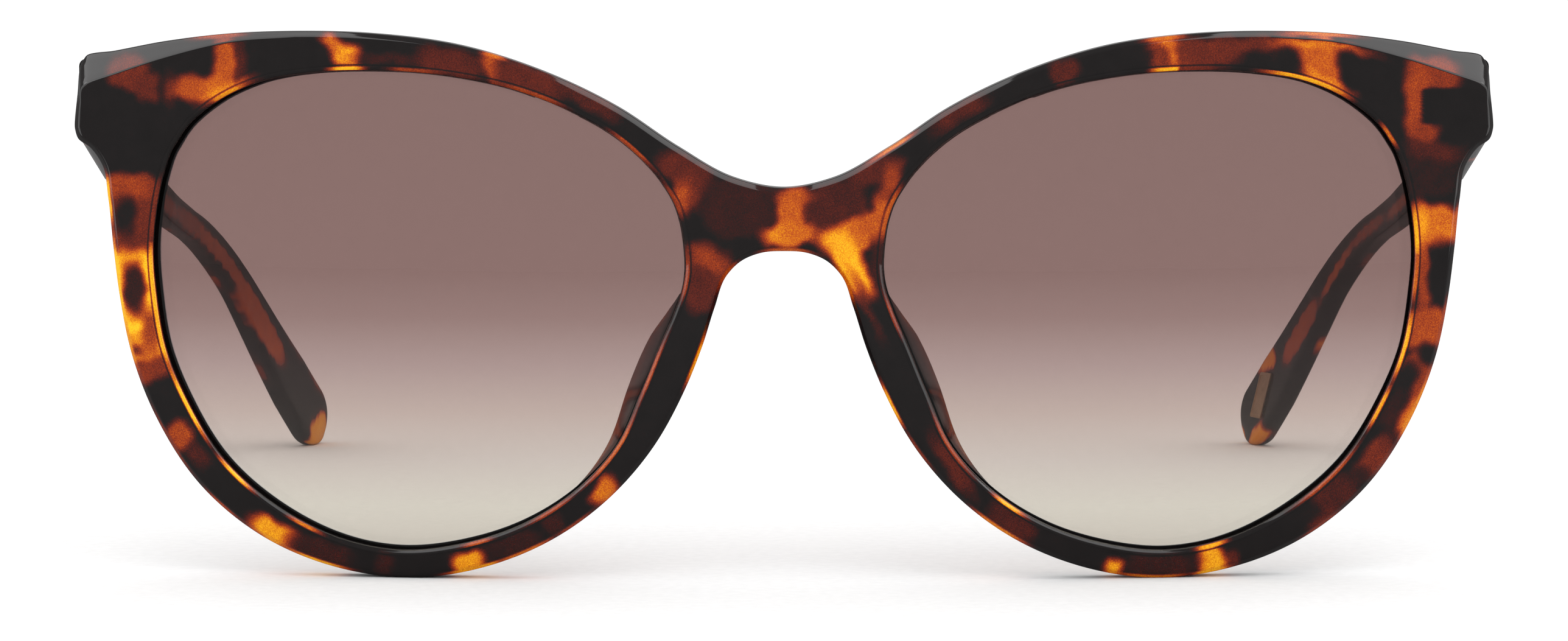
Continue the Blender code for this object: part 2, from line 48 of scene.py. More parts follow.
# Depth starts where the front's curve comes furthest forward, this far in front of the origin
DEPTH_SHIFT = 71.498

# ---- shape, as in the CAD source

LENS_RADIUS = 132.0
WRAP = math.tan(math.radians(6.0))
LENS_MID_X = 36.0
LENS_MID_Z = 27.0
BRIDGE_SOFTNESS = 6.0
FRONT_SETBACK = 0.73
RIM_THICKNESS = 3.8
EDGE_BEVEL = 0.5
OPENING_BEVEL = 0.4
GROOVE_FRONT = 0.95
GROOVE_BACK = 3.05
GROOVE_DEPTH = 0.55
GROOVE_SLOPE = 0.1
FACET_SLOPE = 0.75
END_BACK = 14.6
END_BLEND_X = (61.5, 64.5)
END_BLEND_Z = (39.5, 43.5)
PAD_STATIONS = (28.3, 34.3)
PAD_BACK = 5.5
PAD_FLARE = 1.7
LENS_CLEARANCE = 0.05
PIVOT_Z = 47.6
HINGE_HALF_HEIGHT = 2.2
FRONT_LEAF_X = (64.9, 69.1)
FRONT_LEAF_Y = (12.25, 13.35)
TEMPLE_LEAF_X = (68.55, 69.45)
TEMPLE_LEAF_Y = (14.95, 20.8)
POCKET_CLEARANCE = 0.1
RECESS_CLEARANCE = 0.05
SCREW_HEAD_ROOM = 0.7
TEMPLE_LENGTH = 140.0
BUTT_GAP = 0.15
OUTER_X = 71.8
# Along a temple, by distance from the hinge: angle downwards, angle inwards, height and thickness
SIDE_ANGLES = (
    (0.0, 12.0), (80.0, 12.0), (87.0, 15.0), (98.0, 26.0),
    (109.0, 36.2), (116.0, 37.8), (140.0, 37.4),
)
PLAN_ANGLES = ((0.0, -1.1), (30.0, -1.1), (72.0, 2.6), (100.0, 13.4), (140.0, 20.0))
HEIGHTS = (
    (0.0, 8.4), (25.0, 8.8), (45.0, 6.0), (62.0, 4.2),
    (85.0, 3.5), (105.0, 4.6), (128.0, 7.2), (140.0, 7.2),
)
THICKNESSES = ((0.0, 3.4), (30.0, 2.5), (140.0, 2.5))
TIP_RADIUS = 5.0
TIP_THINNEST = 0.35
PLAQUE_AT = 131.0
PLAQUE_THICKNESS = 0.25
PLAQUE_GAP = 0.05
PLAQUE_OUTLINE = ((-4.3, 0.4), (1.9, -2.2), (4.4, -0.3), (-1.8, 2.3))

# A point of the lens opening and the matching point of the outer outline, for the +X half. Past the
# bridge's underside the outer points lie on the plane of symmetry.
STATIONS = (
    ((12.0, 39.6), (0.0, 39.4)),
    ((13.6, 41.6), (5.0, 40.4)),
    ((16.6, 44.3), (10.6, 43.5)),
    ((20.5, 46.6), (16.5, 47.4)),
    ((26.5, 49.0), (24.3, 51.1)),
    ((33.0, 50.4), (32.5, 53.6)),
    ((40.2, 51.0), (41.0, 54.7)),
    ((47.0, 50.8), (49.0, 54.9)),
    ((52.3, 49.9), (56.0, 54.6)),
    ((56.3, 48.2), (62.5, 53.8)),
    ((58.6, 46.6), (68.0, 52.75)),
    ((59.6, 45.7), (70.95, 52.2)),
    ((60.2, 45.0), (71.45, 51.3)),
    ((61.0, 43.8), (71.65, 48.2)),
    ((61.6, 42.8), (71.85, 44.9)),
    ((61.9, 42.1), (71.55, 44.0)),
    ((62.2, 41.2), (70.2, 43.0)),
    ((62.6, 39.8), (68.9, 41.2)),
    ((63.1, 37.2), (68.3, 38.0)),
    ((63.5, 33.0), (67.75, 33.0)),
    ((63.2, 28.5), (67.1, 28.0)),
    ((62.2, 22.8), (65.9, 22.2)),
    ((60.1, 17.7), (63.4, 15.8)),
    ((56.3, 11.7), (58.8, 8.9)),
    ((50.6, 6.9), (52.2, 3.7)),
    ((44.6, 4.0), (44.6, 0.8)),
    ((38.5, 2.9), (37.0, 0.0)),
    ((32.0, 3.7), (30.0, 1.2)),
    ((26.2, 5.7), (23.5, 3.9)),
    ((20.8, 9.2), (17.6, 8.2)),
    ((16.8, 13.6), (13.1, 13.4)),
    ((14.2, 19.3), (10.0, 19.0)),
    ((12.2, 24.2), (8.1, 23.7)),
    ((10.9, 27.2), (6.9, 27.5)),
    ((10.1, 29.6), (5.7, 30.7)),
    ((9.85, 31.5), (4.3, 32.1)),
    ((9.9, 32.8), (2.4, 32.9)),
    ((10.05, 34.3), (0.0, 33.1)),
    ((10.35, 36.0), (0.0, 35.2)),
    ((11.0, 37.9), (0.0, 37.3)),
)
UNDERSIDE_STATION = 37
# Lower edge of the big facet along the top of the end piece, by station
FACET_EDGE = {
    7: (49.0, 54.4),
    8: (56.0, 53.78),
    9: (62.3, 52.25),
    10: (67.4, 50.62),
    11: (70.6, 49.5),
    12: (71.15, 49.0),
    13: (71.3, 47.4),
    14: (71.4, 45.1),
}

# ---- finer than the CAD

# Samples for each span between stations, and the most that a curve's tangent reaches past a short one
STEPS = 22
CORNER_REACH = 1.8
# Stations over which the bevel behind the end piece narrows, and then widens again
END_STATIONS = ((8.5, 10.0), (14.5, 16.0))
END_BEVEL = 0.22
# Small round on every edge, and the most of a bevel that it may take up
FILLET = 0.16
FILLET_SHARE = 0.3
FILLET_STEPS = 2
# Points across the front face, the front bevel, the outer wall and the back face
FACE_POINTS = 40
BEVEL_POINTS = 5
WALL_POINTS = 6
BACK_POINTS = 14
# Shares of the nose pads' swelling at the outer edge and beside the lens
PAD_OUTER_SHARE = 0.8
PAD_INNER_SHARE = 0.9
MERGE_DISTANCE = 1e-3 * MM
SHARP_ANGLE = 40.0
CUT_MARGIN = 1.0
NEAREST_BLOCK = 4000

# Tortoiseshell of the front: patches as (x, z, half length, half width, angle, tone), painted in
# this order. Tone runs from 0, black, over dark red and orange to 1, clear yellow.
BASE_TONE = 0.1
PATCH_POWER = 3.0
PATCHES = (
    # wearer's right end piece and brow
    (-66.3, 50.7, 2.1, 1.8, -10, 0.36), (-64.2, 49.2, 1.3, 1.5, 0, 0.33),
    (-61.9, 49.2, 0.5, 1.4, 0, 0.3), (-59.2, 49.2, 2.4, 1.25, 0, 0.55),
    (-56.1, 51.6, 1.2, 3, 4, 0.57), (-54.5, 52, 0.5, 2, 0, 0.28),
    (-57, 49.3, 1.6, 1.1, 20, 0.62), (-55.9, 48.8, 2.3, 0.6, 24, 0.8),
    (-43.8, 52.6, 1.5, 1.2, -20, 0.8), (-45.3, 53.9, 1, 0.6, -40, 0.66),
    (-38.9, 52.2, 3, 0.5, 0, 0.22), (-33.2, 51.8, 3.6, 1.5, -10, 0.3),
    (-28.9, 51.3, 0.9, 1.5, 18, 0.6), (-25.4, 50, 3.6, 1.6, -20, 0.31),
    (-19.2, 48.2, 3.4, 1.1, -30, 0.27),
    # bridge
    (-9.8, 41, 3, 1.6, -25, 0.31), (-9.6, 39, 1.2, 1.9, 12, 0.36),
    (-10.2, 38.4, 0.7, 1.5, 8, 0.55), (-4.6, 37.4, 3.6, 3, 0, 0.2),
    (-8, 31.4, 2.8, 2.6, -25, 0.33), (-7.4, 32.2, 1.9, 0.9, -25, 0.48),
    (-8.5, 29, 1.5, 2, 0, 0.3), (8.6, 41, 2.6, 1.2, 30, 0.3),
    (5.2, 37.6, 3.2, 2.4, 0, 0.26), (0.6, 36.3, 1.45, 2.9, -6, 0.62),
    (1, 38.7, 1.4, 0.6, 0, 0.6), (-0.2, 34.7, 1.8, 1, 8, 0.72),
    (1.6, 34.9, 1.5, 1, 0, 0.66), (7.4, 34.8, 3.4, 1.6, 18, 0.66),
    (9.4, 31.6, 0.8, 2.6, 0, 0.22), (9, 36.3, 1.8, 1, 28, 0.6),
    (9.8, 37.6, 0.8, 1.4, 0, 0.58), (10.7, 40.3, 0.9, 1.9, -20, 0.48),
    (4.7, 34.4, 1.4, 0.8, -5, 0.78), (6.6, 31.8, 3.5, 1.35, -64, 0.86),
    # wearer's left brow and end piece
    (17.4, 46.9, 3.2, 1, 32, 0.27), (27.9, 51, 1.4, 1.3, 15, 0.3),
    (41.2, 52.7, 4.4, 1.5, 3, 0.36), (47, 53.6, 3.4, 0.8, 0, 0.34),
    (38, 53.8, 1.1, 0.4, 8, 0.74), (38.8, 52.6, 0.35, 1, 0, 0.72),
    (37.3, 52.3, 0.6, 1.4, 0, 0.42), (49.3, 52.4, 1.8, 0.5, 0, 0.12),
    (53.8, 51.6, 1.9, 2.6, 10, 0.6), (52.2, 53.7, 2.4, 0.5, -6, 0.72),
    (56, 53.4, 2.4, 0.35, -15, 0.66), (54.5, 49.6, 2.4, 0.6, -28, 0.74),
    (65, 40.2, 3.2, 2, 0, 0.16), (65.6, 50.6, 2.9, 1.7, -4, 0.44),
    (63.8, 47.6, 1.3, 4, 0, 0.5), (64.7, 44.6, 1.4, 1.2, -35, 0.44),
    (65.6, 42.8, 2.9, 0.9, -8, 0.27),
    # wearer's left rim, downwards
    (65.8, 35.2, 3, 2.2, -14, 0.66), (64, 34, 0.7, 2.8, 0, 0.88),
    (64.3, 29.6, 0.7, 4.2, 2, 0.48), (67.1, 30.6, 1.7, 3.1, 4, 0.08),
    (64.8, 24.9, 2.6, 2.1, 4, 0.54), (64.4, 20.8, 2.6, 2, 25, 0.44),
    (65.2, 22.4, 1.1, 1, 0, 0.12), (62.7, 19.8, 1.1, 1.7, -20, 0.12),
    (63.5, 16.3, 1.2, 2.4, -28, 0.64), (64.1, 16.6, 0.6, 2.4, -28, 0.8),
    (61.2, 16.4, 0.9, 1.9, -30, 0.18), (59.8, 12, 2.4, 1.4, 48, 0.38),
    (58, 10, 1, 1, 40, 0.18), (55.6, 8.2, 2.4, 1.6, 40, 0.26),
    (53.1, 6.3, 1, 1.3, 35, 0.12), (54.3, 5.6, 1.4, 0.5, 38, 0.34),
    (45, 1.8, 0.9, 0.9, 0, 0.3), (43, 1.8, 1.3, 1.6, 12, 0.84),
    (37.9, 1.3, 3.7, 1.3, 0, 0.21), (33.1, 1.2, 0.8, 0.9, 0, 0.82),
    (22.6, 5.7, 2.7, 1.6, -36, 0.26), (16.9, 11.6, 3.4, 0.8, -57, 0.32),
    (8.4, 27.4, 2.4, 0.35, -66, 0.3),
    # wearer's right rim, downwards
    (-65.8, 36.4, 3.4, 4.1, 0, 0.36), (-66.2, 39.2, 2.6, 1.2, 2, 0.5),
    (-65.4, 27.4, 3.4, 5.4, 4, 0.93), (-64.6, 23, 2.6, 1.6, 10, 0.78),
    (-65.55, 29, 1.15, 2.6, 4, 0.2), (-63.9, 24.8, 0.8, 2.2, 6, 0.5),
    (-65.4, 22.6, 0.7, 0.5, 0, 0.4), (-63.9, 20.7, 2.4, 1.2, 20, 0.42),
    (-60.9, 14.2, 1.3, 1.5, -50, 0.52), (-59.2, 12.2, 1.3, 0.9, -50, 0.27),
    (-51.2, 4.3, 2.9, 1.2, -30, 0.83), (-46.6, 2.5, 3.5, 1.4, -18, 0.21),
    (-40.3, 1.4, 1, 1.2, 0, 0.2), (-31.6, 1.7, 1.6, 1.2, 8, 0.8),
    (-27.2, 3.4, 3, 1.3, 20, 0.19), (-23, 5.6, 0.9, 1.4, 30, 0.23),
    (-18, 9.1, 1.6, 1.1, 62, 0.68), (-66.4, 36.3, 1, 1.9, 0, 0.12),
)
# Painted shade of the hinge pocket, which shows dark through the left end piece: x, z, half width,
# half height, tone
POCKET_SHADE = (67.4, 47.3, 3.1, 1.75, 0.09)
POCKET_CORNER = 0.4
POCKET_SOFT = 0.35
# The patches' wavy edges: how far they sway, the share of the finer waves, and how soft they are
SWAY = 0.14
FINE_SWAY = 0.3
PATCH_SOFT = 1.1
# How far past its reach an edge light still shows
GLOW_EXTENT = 1.25

# Bands of painted edge light and painted shade beside an edge, by distance from it: (from, to,
# softness), and how much the shade lines darken
GLOW_BAND = (0.0, 0.42, 0.08)
INNER_LINE = (0.56, 0.62, 0.08)
INNER_LINE_SHADE = 0.55
LENS_LINE = (-1.0, 0.04, 0.06)
LENS_LINE_SHADE = 0.7
OUTER_GLOW_BAND = (-1.0, 0.25, 0.2)
FACET_LINE = (-1.0, 0.05, 0.06)
FACET_LINE_SHADE = 0.8
# The nose pads, from how far behind the rim's back they count as pads, and their tones
PAD_FROM = 0.3
PAD_BLEND = 1.5
PAD_REACH_X = 20.0
PAD_TONE = 0.5
PAD_LENS_SIDE = (-1.0, 0.8, 0.8)
PAD_EXTRA_TONE = 0.35
PAD_STRENGTH = 0.8

# Where light comes out along the edge beside the lens, and along the outer edge:
# (x, z, reach along the edge, tone)
OPENING_GLOW = (
    (-43.8, 51.4, 2.2, 0.95), (-37.2, 51.5, 3, 0.52), (-25, 48.8, 4.2, 0.5),
    (-15, 43.6, 3.4, 0.52), (-10.9, 38.4, 2.4, 0.46), (-9.7, 30.5, 3, 0.5),
    (-12.2, 20.6, 5, 0.56), (-17, 13.2, 6, 0.6), (-23.4, 7.2, 3.4, 0.52),
    (-30.8, 3.6, 2, 0.58), (-48.5, 4.8, 2.4, 0.7), (-55.8, 9.8, 3.2, 0.95),
    (-60.9, 17, 5.2, 0.96), (-63.6, 24, 4, 0.9), (-63.9, 30, 4.5, 0.88),
    (-63.4, 37, 4, 0.4), (10.8, 37.6, 2.6, 0.6), (10.4, 26.6, 3, 0.46),
    (16.6, 13.9, 4.5, 0.52), (22.6, 7.8, 2.4, 0.9), (43, 3.4, 2, 0.85),
    (55, 9.9, 5.5, 0.55), (60.2, 17, 3, 0.85), (62.6, 23, 4, 0.9),
    (63.7, 30, 3, 0.66), (64, 34.5, 2.6, 0.9), (61, 44.6, 1.8, 0.66),
    (52, 50.3, 5, 0.88), (38.4, 51.3, 2.2, 0.9), (41, 51.3, 3, 0.38),
)
OUTER_GLOW = (
    (-67.8, 38, 3, 0.92), (-67.1, 30, 5, 0.92), (-66, 23.5, 3, 0.8),
    (-62, 13.6, 5, 0.42), (-57, 6.9, 3, 0.5), (-47, 1.4, 4, 0.86),
    (-31, 1.1, 4, 0.84), (-26, 2.4, 4.5, 0.66), (-21, 5.6, 3, 0.44),
    (-8.6, 22.2, 3.6, 0.78), (-6, 31.2, 2, 0.52), (0.3, 33.3, 3.4, 0.6),
    (6.6, 30, 2.4, 0.62), (10.9, 17.8, 3.2, 0.85), (13.5, 13.2, 3, 0.42),
    (21.5, 5.3, 4, 0.72), (37, 0.3, 4.4, 0.72), (43, 0.6, 2.4, 0.86),
    (54, 5.1, 3, 0.4), (64, 17, 4, 0.74), (66.8, 25.6, 3, 0.5),
    (67.9, 35.6, 2.2, 0.6), (54, 54.6, 5, 0.66), (38, 54.3, 2.6, 0.66),
    (11, 43.4, 3.2, 0.7), (-57, 54.3, 3.6, 0.52), (-29, 52.4, 1.6, 0.66),
)


def smoothstep(value, low, high):
    t = min(max((value - low) / (high - low), 0.0), 1.0)
    return t * t * (3.0 - 2.0 * t)


def eased(share):
    """Shares held between 0 and 1, with a soft start and end."""
    share = np.clip(share, 0.0, 1.0)
    return share * share * (3.0 - 2.0 * share)


def table(rows, value):
    """Straight-line reading of a table of (position, amount) rows."""
    for (a, low), (b, high) in zip(rows, rows[1:]):
        if value <= b:
            return low + (high - low) * (value - a) / (b - a)
    return rows[-1][1]


def spline(points, closed):
    """Smooth curve through uneven points, with STEPS samples for each span."""
    count = len(points)
    spans = count if closed else count - 1
    samples = []
    for i in range(spans):
        p1 = points[i]
        p2 = points[(i + 1) % count]
        p0 = points[(i - 1) % count] if closed or i > 0 else p1 - (p2 - p1)
        p3 = points[(i + 2) % count] if closed or i + 2 < count else p2 + (p2 - p1)
        d0 = (p1 - p0).length
        d1 = (p2 - p1).length
        d2 = (p3 - p2).length
        start = ((p1 - p0) / d0 * d1 + (p2 - p1) / d1 * d0) / (d0 + d1)
        start = start * min(d1, CORNER_REACH * d0)
        end = ((p2 - p1) / d1 * d2 + (p3 - p2) / d2 * d1) / (d1 + d2)
        end = end * min(d1, CORNER_REACH * d2)
        for k in range(STEPS):
            t = k / STEPS
            a = 2 * t ** 3 - 3 * t ** 2 + 1
            b = t ** 3 - 2 * t ** 2 + t
            c = 3 * t ** 2 - 2 * t ** 3
            d = t ** 3 - t ** 2
            samples.append(p1 * a + start * b + p2 * c + end * d)
    if not closed:
        samples.append(points[-1].copy())
    return samples


def front_depth(x, z):
    """How far back the front surface lies, from where its curve comes furthest forward."""
    out = math.hypot(x, BRIDGE_SOFTNESS) - LENS_MID_X
    up = z - LENS_MID_Z
    return (out * out + up * up) / (2.0 * LENS_RADIUS) + out * WRAP + FRONT_SETBACK


def back_depth(x, z):
    """The back of the rims, which steps out to the flat back of the end pieces."""
    rim = front_depth(x, z) + RIM_THICKNESS
    weight = smoothstep(abs(x), *END_BLEND_X) * smoothstep(z, *END_BLEND_Z)
    return rim + (END_BACK - rim) * weight


def to_world(point):
    """From (x, depth, z) in millimetres to metres in the frame of the part."""
    return Vector((point[0], point[1] - DEPTH_SHIFT, point[2])) * MM


# ---- meshes

def new_object(name, data):
    made = bpy.data.objects.new(name, data)
    bpy.context.collection.objects.link(made)
    return made


def face_outward(mesh, merge=0.0):
    """Turn a closed mesh's faces outward, after merging points closer than `merge`."""
    shell = bmesh.new()
    shell.from_mesh(mesh)
    if merge > 0.0:
        bmesh.ops.remove_doubles(shell, verts=shell.verts, dist=merge)
    bmesh.ops.recalc_face_normals(shell, faces=shell.faces)
    shell.to_mesh(mesh)
    shell.free()


def make_piece(name, points, faces, body, material, sharp=SHARP_ANGLE):
    """One closed piece from points in millimetres, which rides on a body."""
    mesh = bpy.data.meshes.new(name)
    mesh.from_pydata([to_world(p) for p in points], [], faces)
    face_outward(mesh, MERGE_DISTANCE)
    mesh.shade_smooth()
    mesh.set_sharp_from_angle(angle=math.radians(sharp))
    piece = new_object(name, mesh)
    mesh.materials.append(material)
    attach(piece, body)
    return piece


def ring_faces(rings, around, closed_along=False):
    """Quads between rings of `around` points each; the rings are consecutive in the point list."""
    faces = []
    last = rings if closed_along else rings - 1
    for i in range(last):
        j = (i + 1) % rings
        for k in range(around):
            m = (k + 1) % around
            faces.append((i * around + k, i * around + m, j * around + m, j * around + k))
    return faces


def tube_faces(rings, around):
    """Ring faces with a flat face at each end."""
    last = (rings - 1) * around
    ends = [tuple(range(around)), tuple(range(last, last + around))]
    return ring_faces(rings, around) + ends


def cut_box(target, xs, ys, zs):
    """Cut a box, given in millimetres, out of a piece."""
    loop = ((xs[0], ys[0]), (xs[1], ys[0]), (xs[1], ys[1]), (xs[0], ys[1]))
    corners = [to_world((x, y, z)) for z in zs for x, y in loop]
    mesh = bpy.data.meshes.new("cutter")
    mesh.from_pydata(corners, [], tube_faces(2, 4))
    face_outward(mesh)
    tool = new_object("cutter", mesh)
    change = target.modifiers.new("cut", "BOOLEAN")
    change.operation = "DIFFERENCE"
    change.object = tool
    bpy.context.view_layer.update()
    depsgraph = bpy.context.evaluated_depsgraph_get()
    result = bpy.data.meshes.new_from_object(target.evaluated_get(depsgraph))
    target.modifiers.clear()
    target.data = result
    result.set_sharp_from_angle(angle=math.radians(SHARP_ANGLE))
    bpy.data.objects.remove(tool)


def positions(piece):
    """Vertex positions in millimetres, with depth measured as in the tables."""
    count = len(piece.data.vertices)
    flat = np.zeros(count * 3, np.float32)
    piece.data.vertices.foreach_get("co", flat)
    co = flat.reshape(count, 3).astype(float) / MM
    co[:, 1] += DEPTH_SHIFT
    return co


def set_attribute(piece, name, values):
    """Store one number for each vertex."""
    attribute = piece.data.attributes.new(name, "FLOAT", "POINT")
    attribute.data.foreach_set("value", np.asarray(values, np.float32))


# ---- front frame

def inward(outline, i):
    """Unit normal of the outer outline, pointing into the rim."""
    if i in (0, UNDERSIDE_STATION * STEPS):
        return Vector((0.0, -1.0 if i == 0 else 1.0))
    along = (outline[i + 1] - outline[i - 1]).normalized()
    return Vector((along.y, -along.x))


def station_curves():
    """Samples of the whole lens opening, and of the outer outline up to the bridge's underside."""
    opening = spline([Vector(s[0]) for s in STATIONS], closed=True)
    rim = [Vector(s[1]) for s in STATIONS[:UNDERSIDE_STATION + 1]]
    mirror_start = Vector((-rim[1].x, rim[1].y))
    mirror_end = Vector((-rim[-2].x, rim[-2].y))
    outline = spline([mirror_start, *rim, mirror_end], closed=False)
    return opening, outline[STEPS:-STEPS]


def bridge_points(opening, outline, inset):
    """Points up the plane of symmetry, for the samples of the opening that the outline lacks."""
    spans = len(opening) - len(outline) + 1
    low, high = outline[-1].y + inset, outline[0].y - inset
    return [Vector((0.0, low + (high - low) * k / spans)) for k in range(1, spans)]


def facet_edges(outline):
    """Where the front's flat ends: one bevel inside the outline, further in at the big facets."""
    first, last = min(FACET_EDGE), max(FACET_EDGE)
    facet = spline([Vector(FACET_EDGE[i]) for i in range(first, last + 1)], closed=False)
    edges = [p + inward(outline, i) * EDGE_BEVEL for i, p in enumerate(outline)]
    edges[first * STEPS:last * STEPS + 1] = facet
    return edges


def pad_weight(i):
    """How far the nose pad swells at a sample: 0 beside it, 1 at its middle."""
    low, high = PAD_STATIONS
    t = (i / STEPS - low) / (high - low)
    return math.sin(math.pi * t) ** 2 if 0.0 < t < 1.0 else 0.0


def straight(a, b, count):
    """Evenly spaced points from one end to the other."""
    return [a.lerp(b, k / (count - 1)) for k in range(count)]


def fillet(before, corner, after):
    """Inner points of a small round between two points and their corner."""
    points = []
    for k in range(1, FILLET_STEPS + 1):
        t = k / (FILLET_STEPS + 1)
        points.append(before.lerp(corner, t).lerp(corner.lerp(after, t), t))
    return points


def rim_section(i, inner, outer, edge, normal):
    """One closed section of the rim as (x, depth, z) points, from the lens opening and round to it.

    normal is the inward normal of the outline, or None where the section ends on the bridge's
    plane of symmetry, and all its outer points are one.
    """
    on_bridge = normal is None
    push = Vector((0.0, 0.0)) if on_bridge else normal
    across = (outer - inner).normalized()
    drop = 0.0 if on_bridge else max((edge - outer).length * FACET_SLOPE, EDGE_BEVEL)
    station = i / STEPS
    narrowing, widening = END_STATIONS
    at_end = smoothstep(station, *narrowing) * (1.0 - smoothstep(station, *widening))
    bevel = 0.0 if on_bridge else EDGE_BEVEL + (END_BEVEL - EDGE_BEVEL) * at_end
    pad = pad_weight(i)

    def front(p, extra=0.0):
        return Vector((p.x, front_depth(p.x, p.y) + extra, p.y))

    def back(p, extra=0.0, share=1.0):
        swell = pad * share
        return Vector((p.x + swell * PAD_FLARE, back_depth(p.x, p.y) + extra + swell * PAD_BACK, p.y))

    lip = inner + across * OPENING_BEVEL
    lip_face = inner + across * (OPENING_BEVEL + FILLET)
    edge_face = edge + push * FILLET
    groove = inner + across * GROOVE_DEPTH
    back_edge = outer + push * bevel
    back_face = outer + push * (bevel + FILLET)

    corners = (
        front(inner, OPENING_BEVEL),
        front(lip),
        front(edge),
        front(outer, drop),
        back(outer, -bevel, PAD_OUTER_SHARE),
        back(back_edge),
        back(lip),
        back(inner, -OPENING_BEVEL, PAD_INNER_SHARE),
    )

    def near(k, towards):
        """A point one fillet away from a corner, on the way to another."""
        gap = corners[towards] - corners[k]
        reach = 0.0 if on_bridge and 2 <= k <= 5 else min(FILLET, FILLET_SHARE * gap.length)
        return corners[k] + gap.normalized() * reach if gap.length > 1e-9 else corners[k].copy()

    def add_side(k, count):
        """The round at corner k, and the straight run to the next corner."""
        start, end = near(k, k + 1), near(k + 1, k)
        section.extend(fillet(section[-1], corners[k], start))
        section.extend(straight(start, end, count))

    section = []
    start, end = near(0, 1), near(1, 0)
    section += [start, start.lerp(end, 0.5), end]
    section += fillet(end, corners[1], front(lip_face))
    for k in range(FACE_POINTS):
        even = k / (FACE_POINTS - 1)
        crowded = 0.5 - 0.5 * math.cos(math.pi * k / (FACE_POINTS - 1))
        section.append(front(lip_face.lerp(edge_face, 0.5 * (crowded + even))))
    add_side(2, BEVEL_POINTS)
    add_side(3, WALL_POINTS)
    add_side(4, 2)
    section += fillet(section[-1], corners[5], back(back_face))
    section += [back(p) for p in straight(back_face, lip_face, BACK_POINTS)]
    add_side(6, 2)
    wall_end = front(inner, GROOVE_BACK)
    wall_start = corners[7] + (wall_end - corners[7]).normalized() * FILLET
    section += fillet(section[-1], corners[7], wall_start)
    section += [
        wall_start,
        wall_end,
        front(groove, GROOVE_BACK - GROOVE_SLOPE),
        front(groove, GROOVE_FRONT + GROOVE_SLOPE),
        front(inner, GROOVE_FRONT),
        front(inner, OPENING_BEVEL + FILLET),
    ]
    section += fillet(section[-1], corners[0], near(0, 1))
    return section


def nearest(points, curve):
    """Distance of each point to a dense curve, both as (x, z)."""
    blocks = np.array_split(points, len(points) // NEAREST_BLOCK + 1)
    squares = [((block[:, None] - curve[None]) ** 2).sum(2).min(1) for block in blocks]
    return np.sqrt(np.concatenate(squares))


def swayed(x, z):
    """Points shifted along two crossing waves each way, so that patches get wavy edges."""
    wide_x, wide_z = np.sin(1.7 * z + 0.6 * x), np.sin(1.9 * x - 0.8 * z + 2.0)
    fine_x, fine_z = np.sin(3.7 * z - 2.3 * x + 1.0), np.sin(3.9 * x + 2.3 * z)
    fine = FINE_SWAY * SWAY
    return x + SWAY * wide_x + fine * fine_x, z + SWAY * wide_z + fine * fine_z


def painted(x, z, patches, soft=PATCH_SOFT):
    """The tone at each point once every patch is painted over the last."""
    tone = np.full(len(x), BASE_TONE)
    x, z = swayed(x, z)
    for px, pz, half_length, half_width, angle, value in patches:
        turn = math.radians(angle)
        along = (x - px) * math.cos(turn) + (z - pz) * math.sin(turn)
        aside = (z - pz) * math.cos(turn) - (x - px) * math.sin(turn)
        reach = (np.abs(along) / half_length) ** PATCH_POWER
        reach = reach + (np.abs(aside) / half_width) ** PATCH_POWER
        inside = (1.0 - reach ** (1.0 / PATCH_POWER)) * min(half_length, half_width)
        tone += (value - tone) * eased(0.5 + inside / soft)
    return tone


def add_glow(tone, x, z, spots, band):
    """Paint edge lights within a band, each point by the light that reaches it most."""
    weight = np.zeros(len(x))
    lit = np.zeros(len(x))
    for px, pz, reach, value in spots:
        share = eased(GLOW_EXTENT - np.hypot(x - px, z - pz) / reach)
        better = share > weight
        weight = np.where(better, share, weight)
        lit = np.where(better, value, lit)
    tone += (lit - tone) * (weight * band)


def bump(value, low, high, soft):
    """1 between low and high, falling to 0 over `soft` outside them."""
    rising = np.clip((value - low) / soft + 1.0, 0.0, 1.0)
    return rising * np.clip((high - value) / soft + 1.0, 0.0, 1.0)


def flat_curve(points):
    """A curve as an array of (x, z) rows."""
    return np.array([(p.x, p.y) for p in points])


def pocket_cover(x, z):
    """How far the painted shade of the hinge pocket covers a point: a rectangle with rounded corners.
    """
    px, pz, half_x, half_z, _ = POCKET_SHADE
    over_x = np.maximum(np.abs(x - px) - half_x + POCKET_CORNER, 0.0)
    over_z = np.maximum(np.abs(z - pz) - half_z + POCKET_CORNER, 0.0)
    return np.clip(0.5 + (POCKET_CORNER - np.hypot(over_x, over_z)) / POCKET_SOFT, 0.0, 1.0)


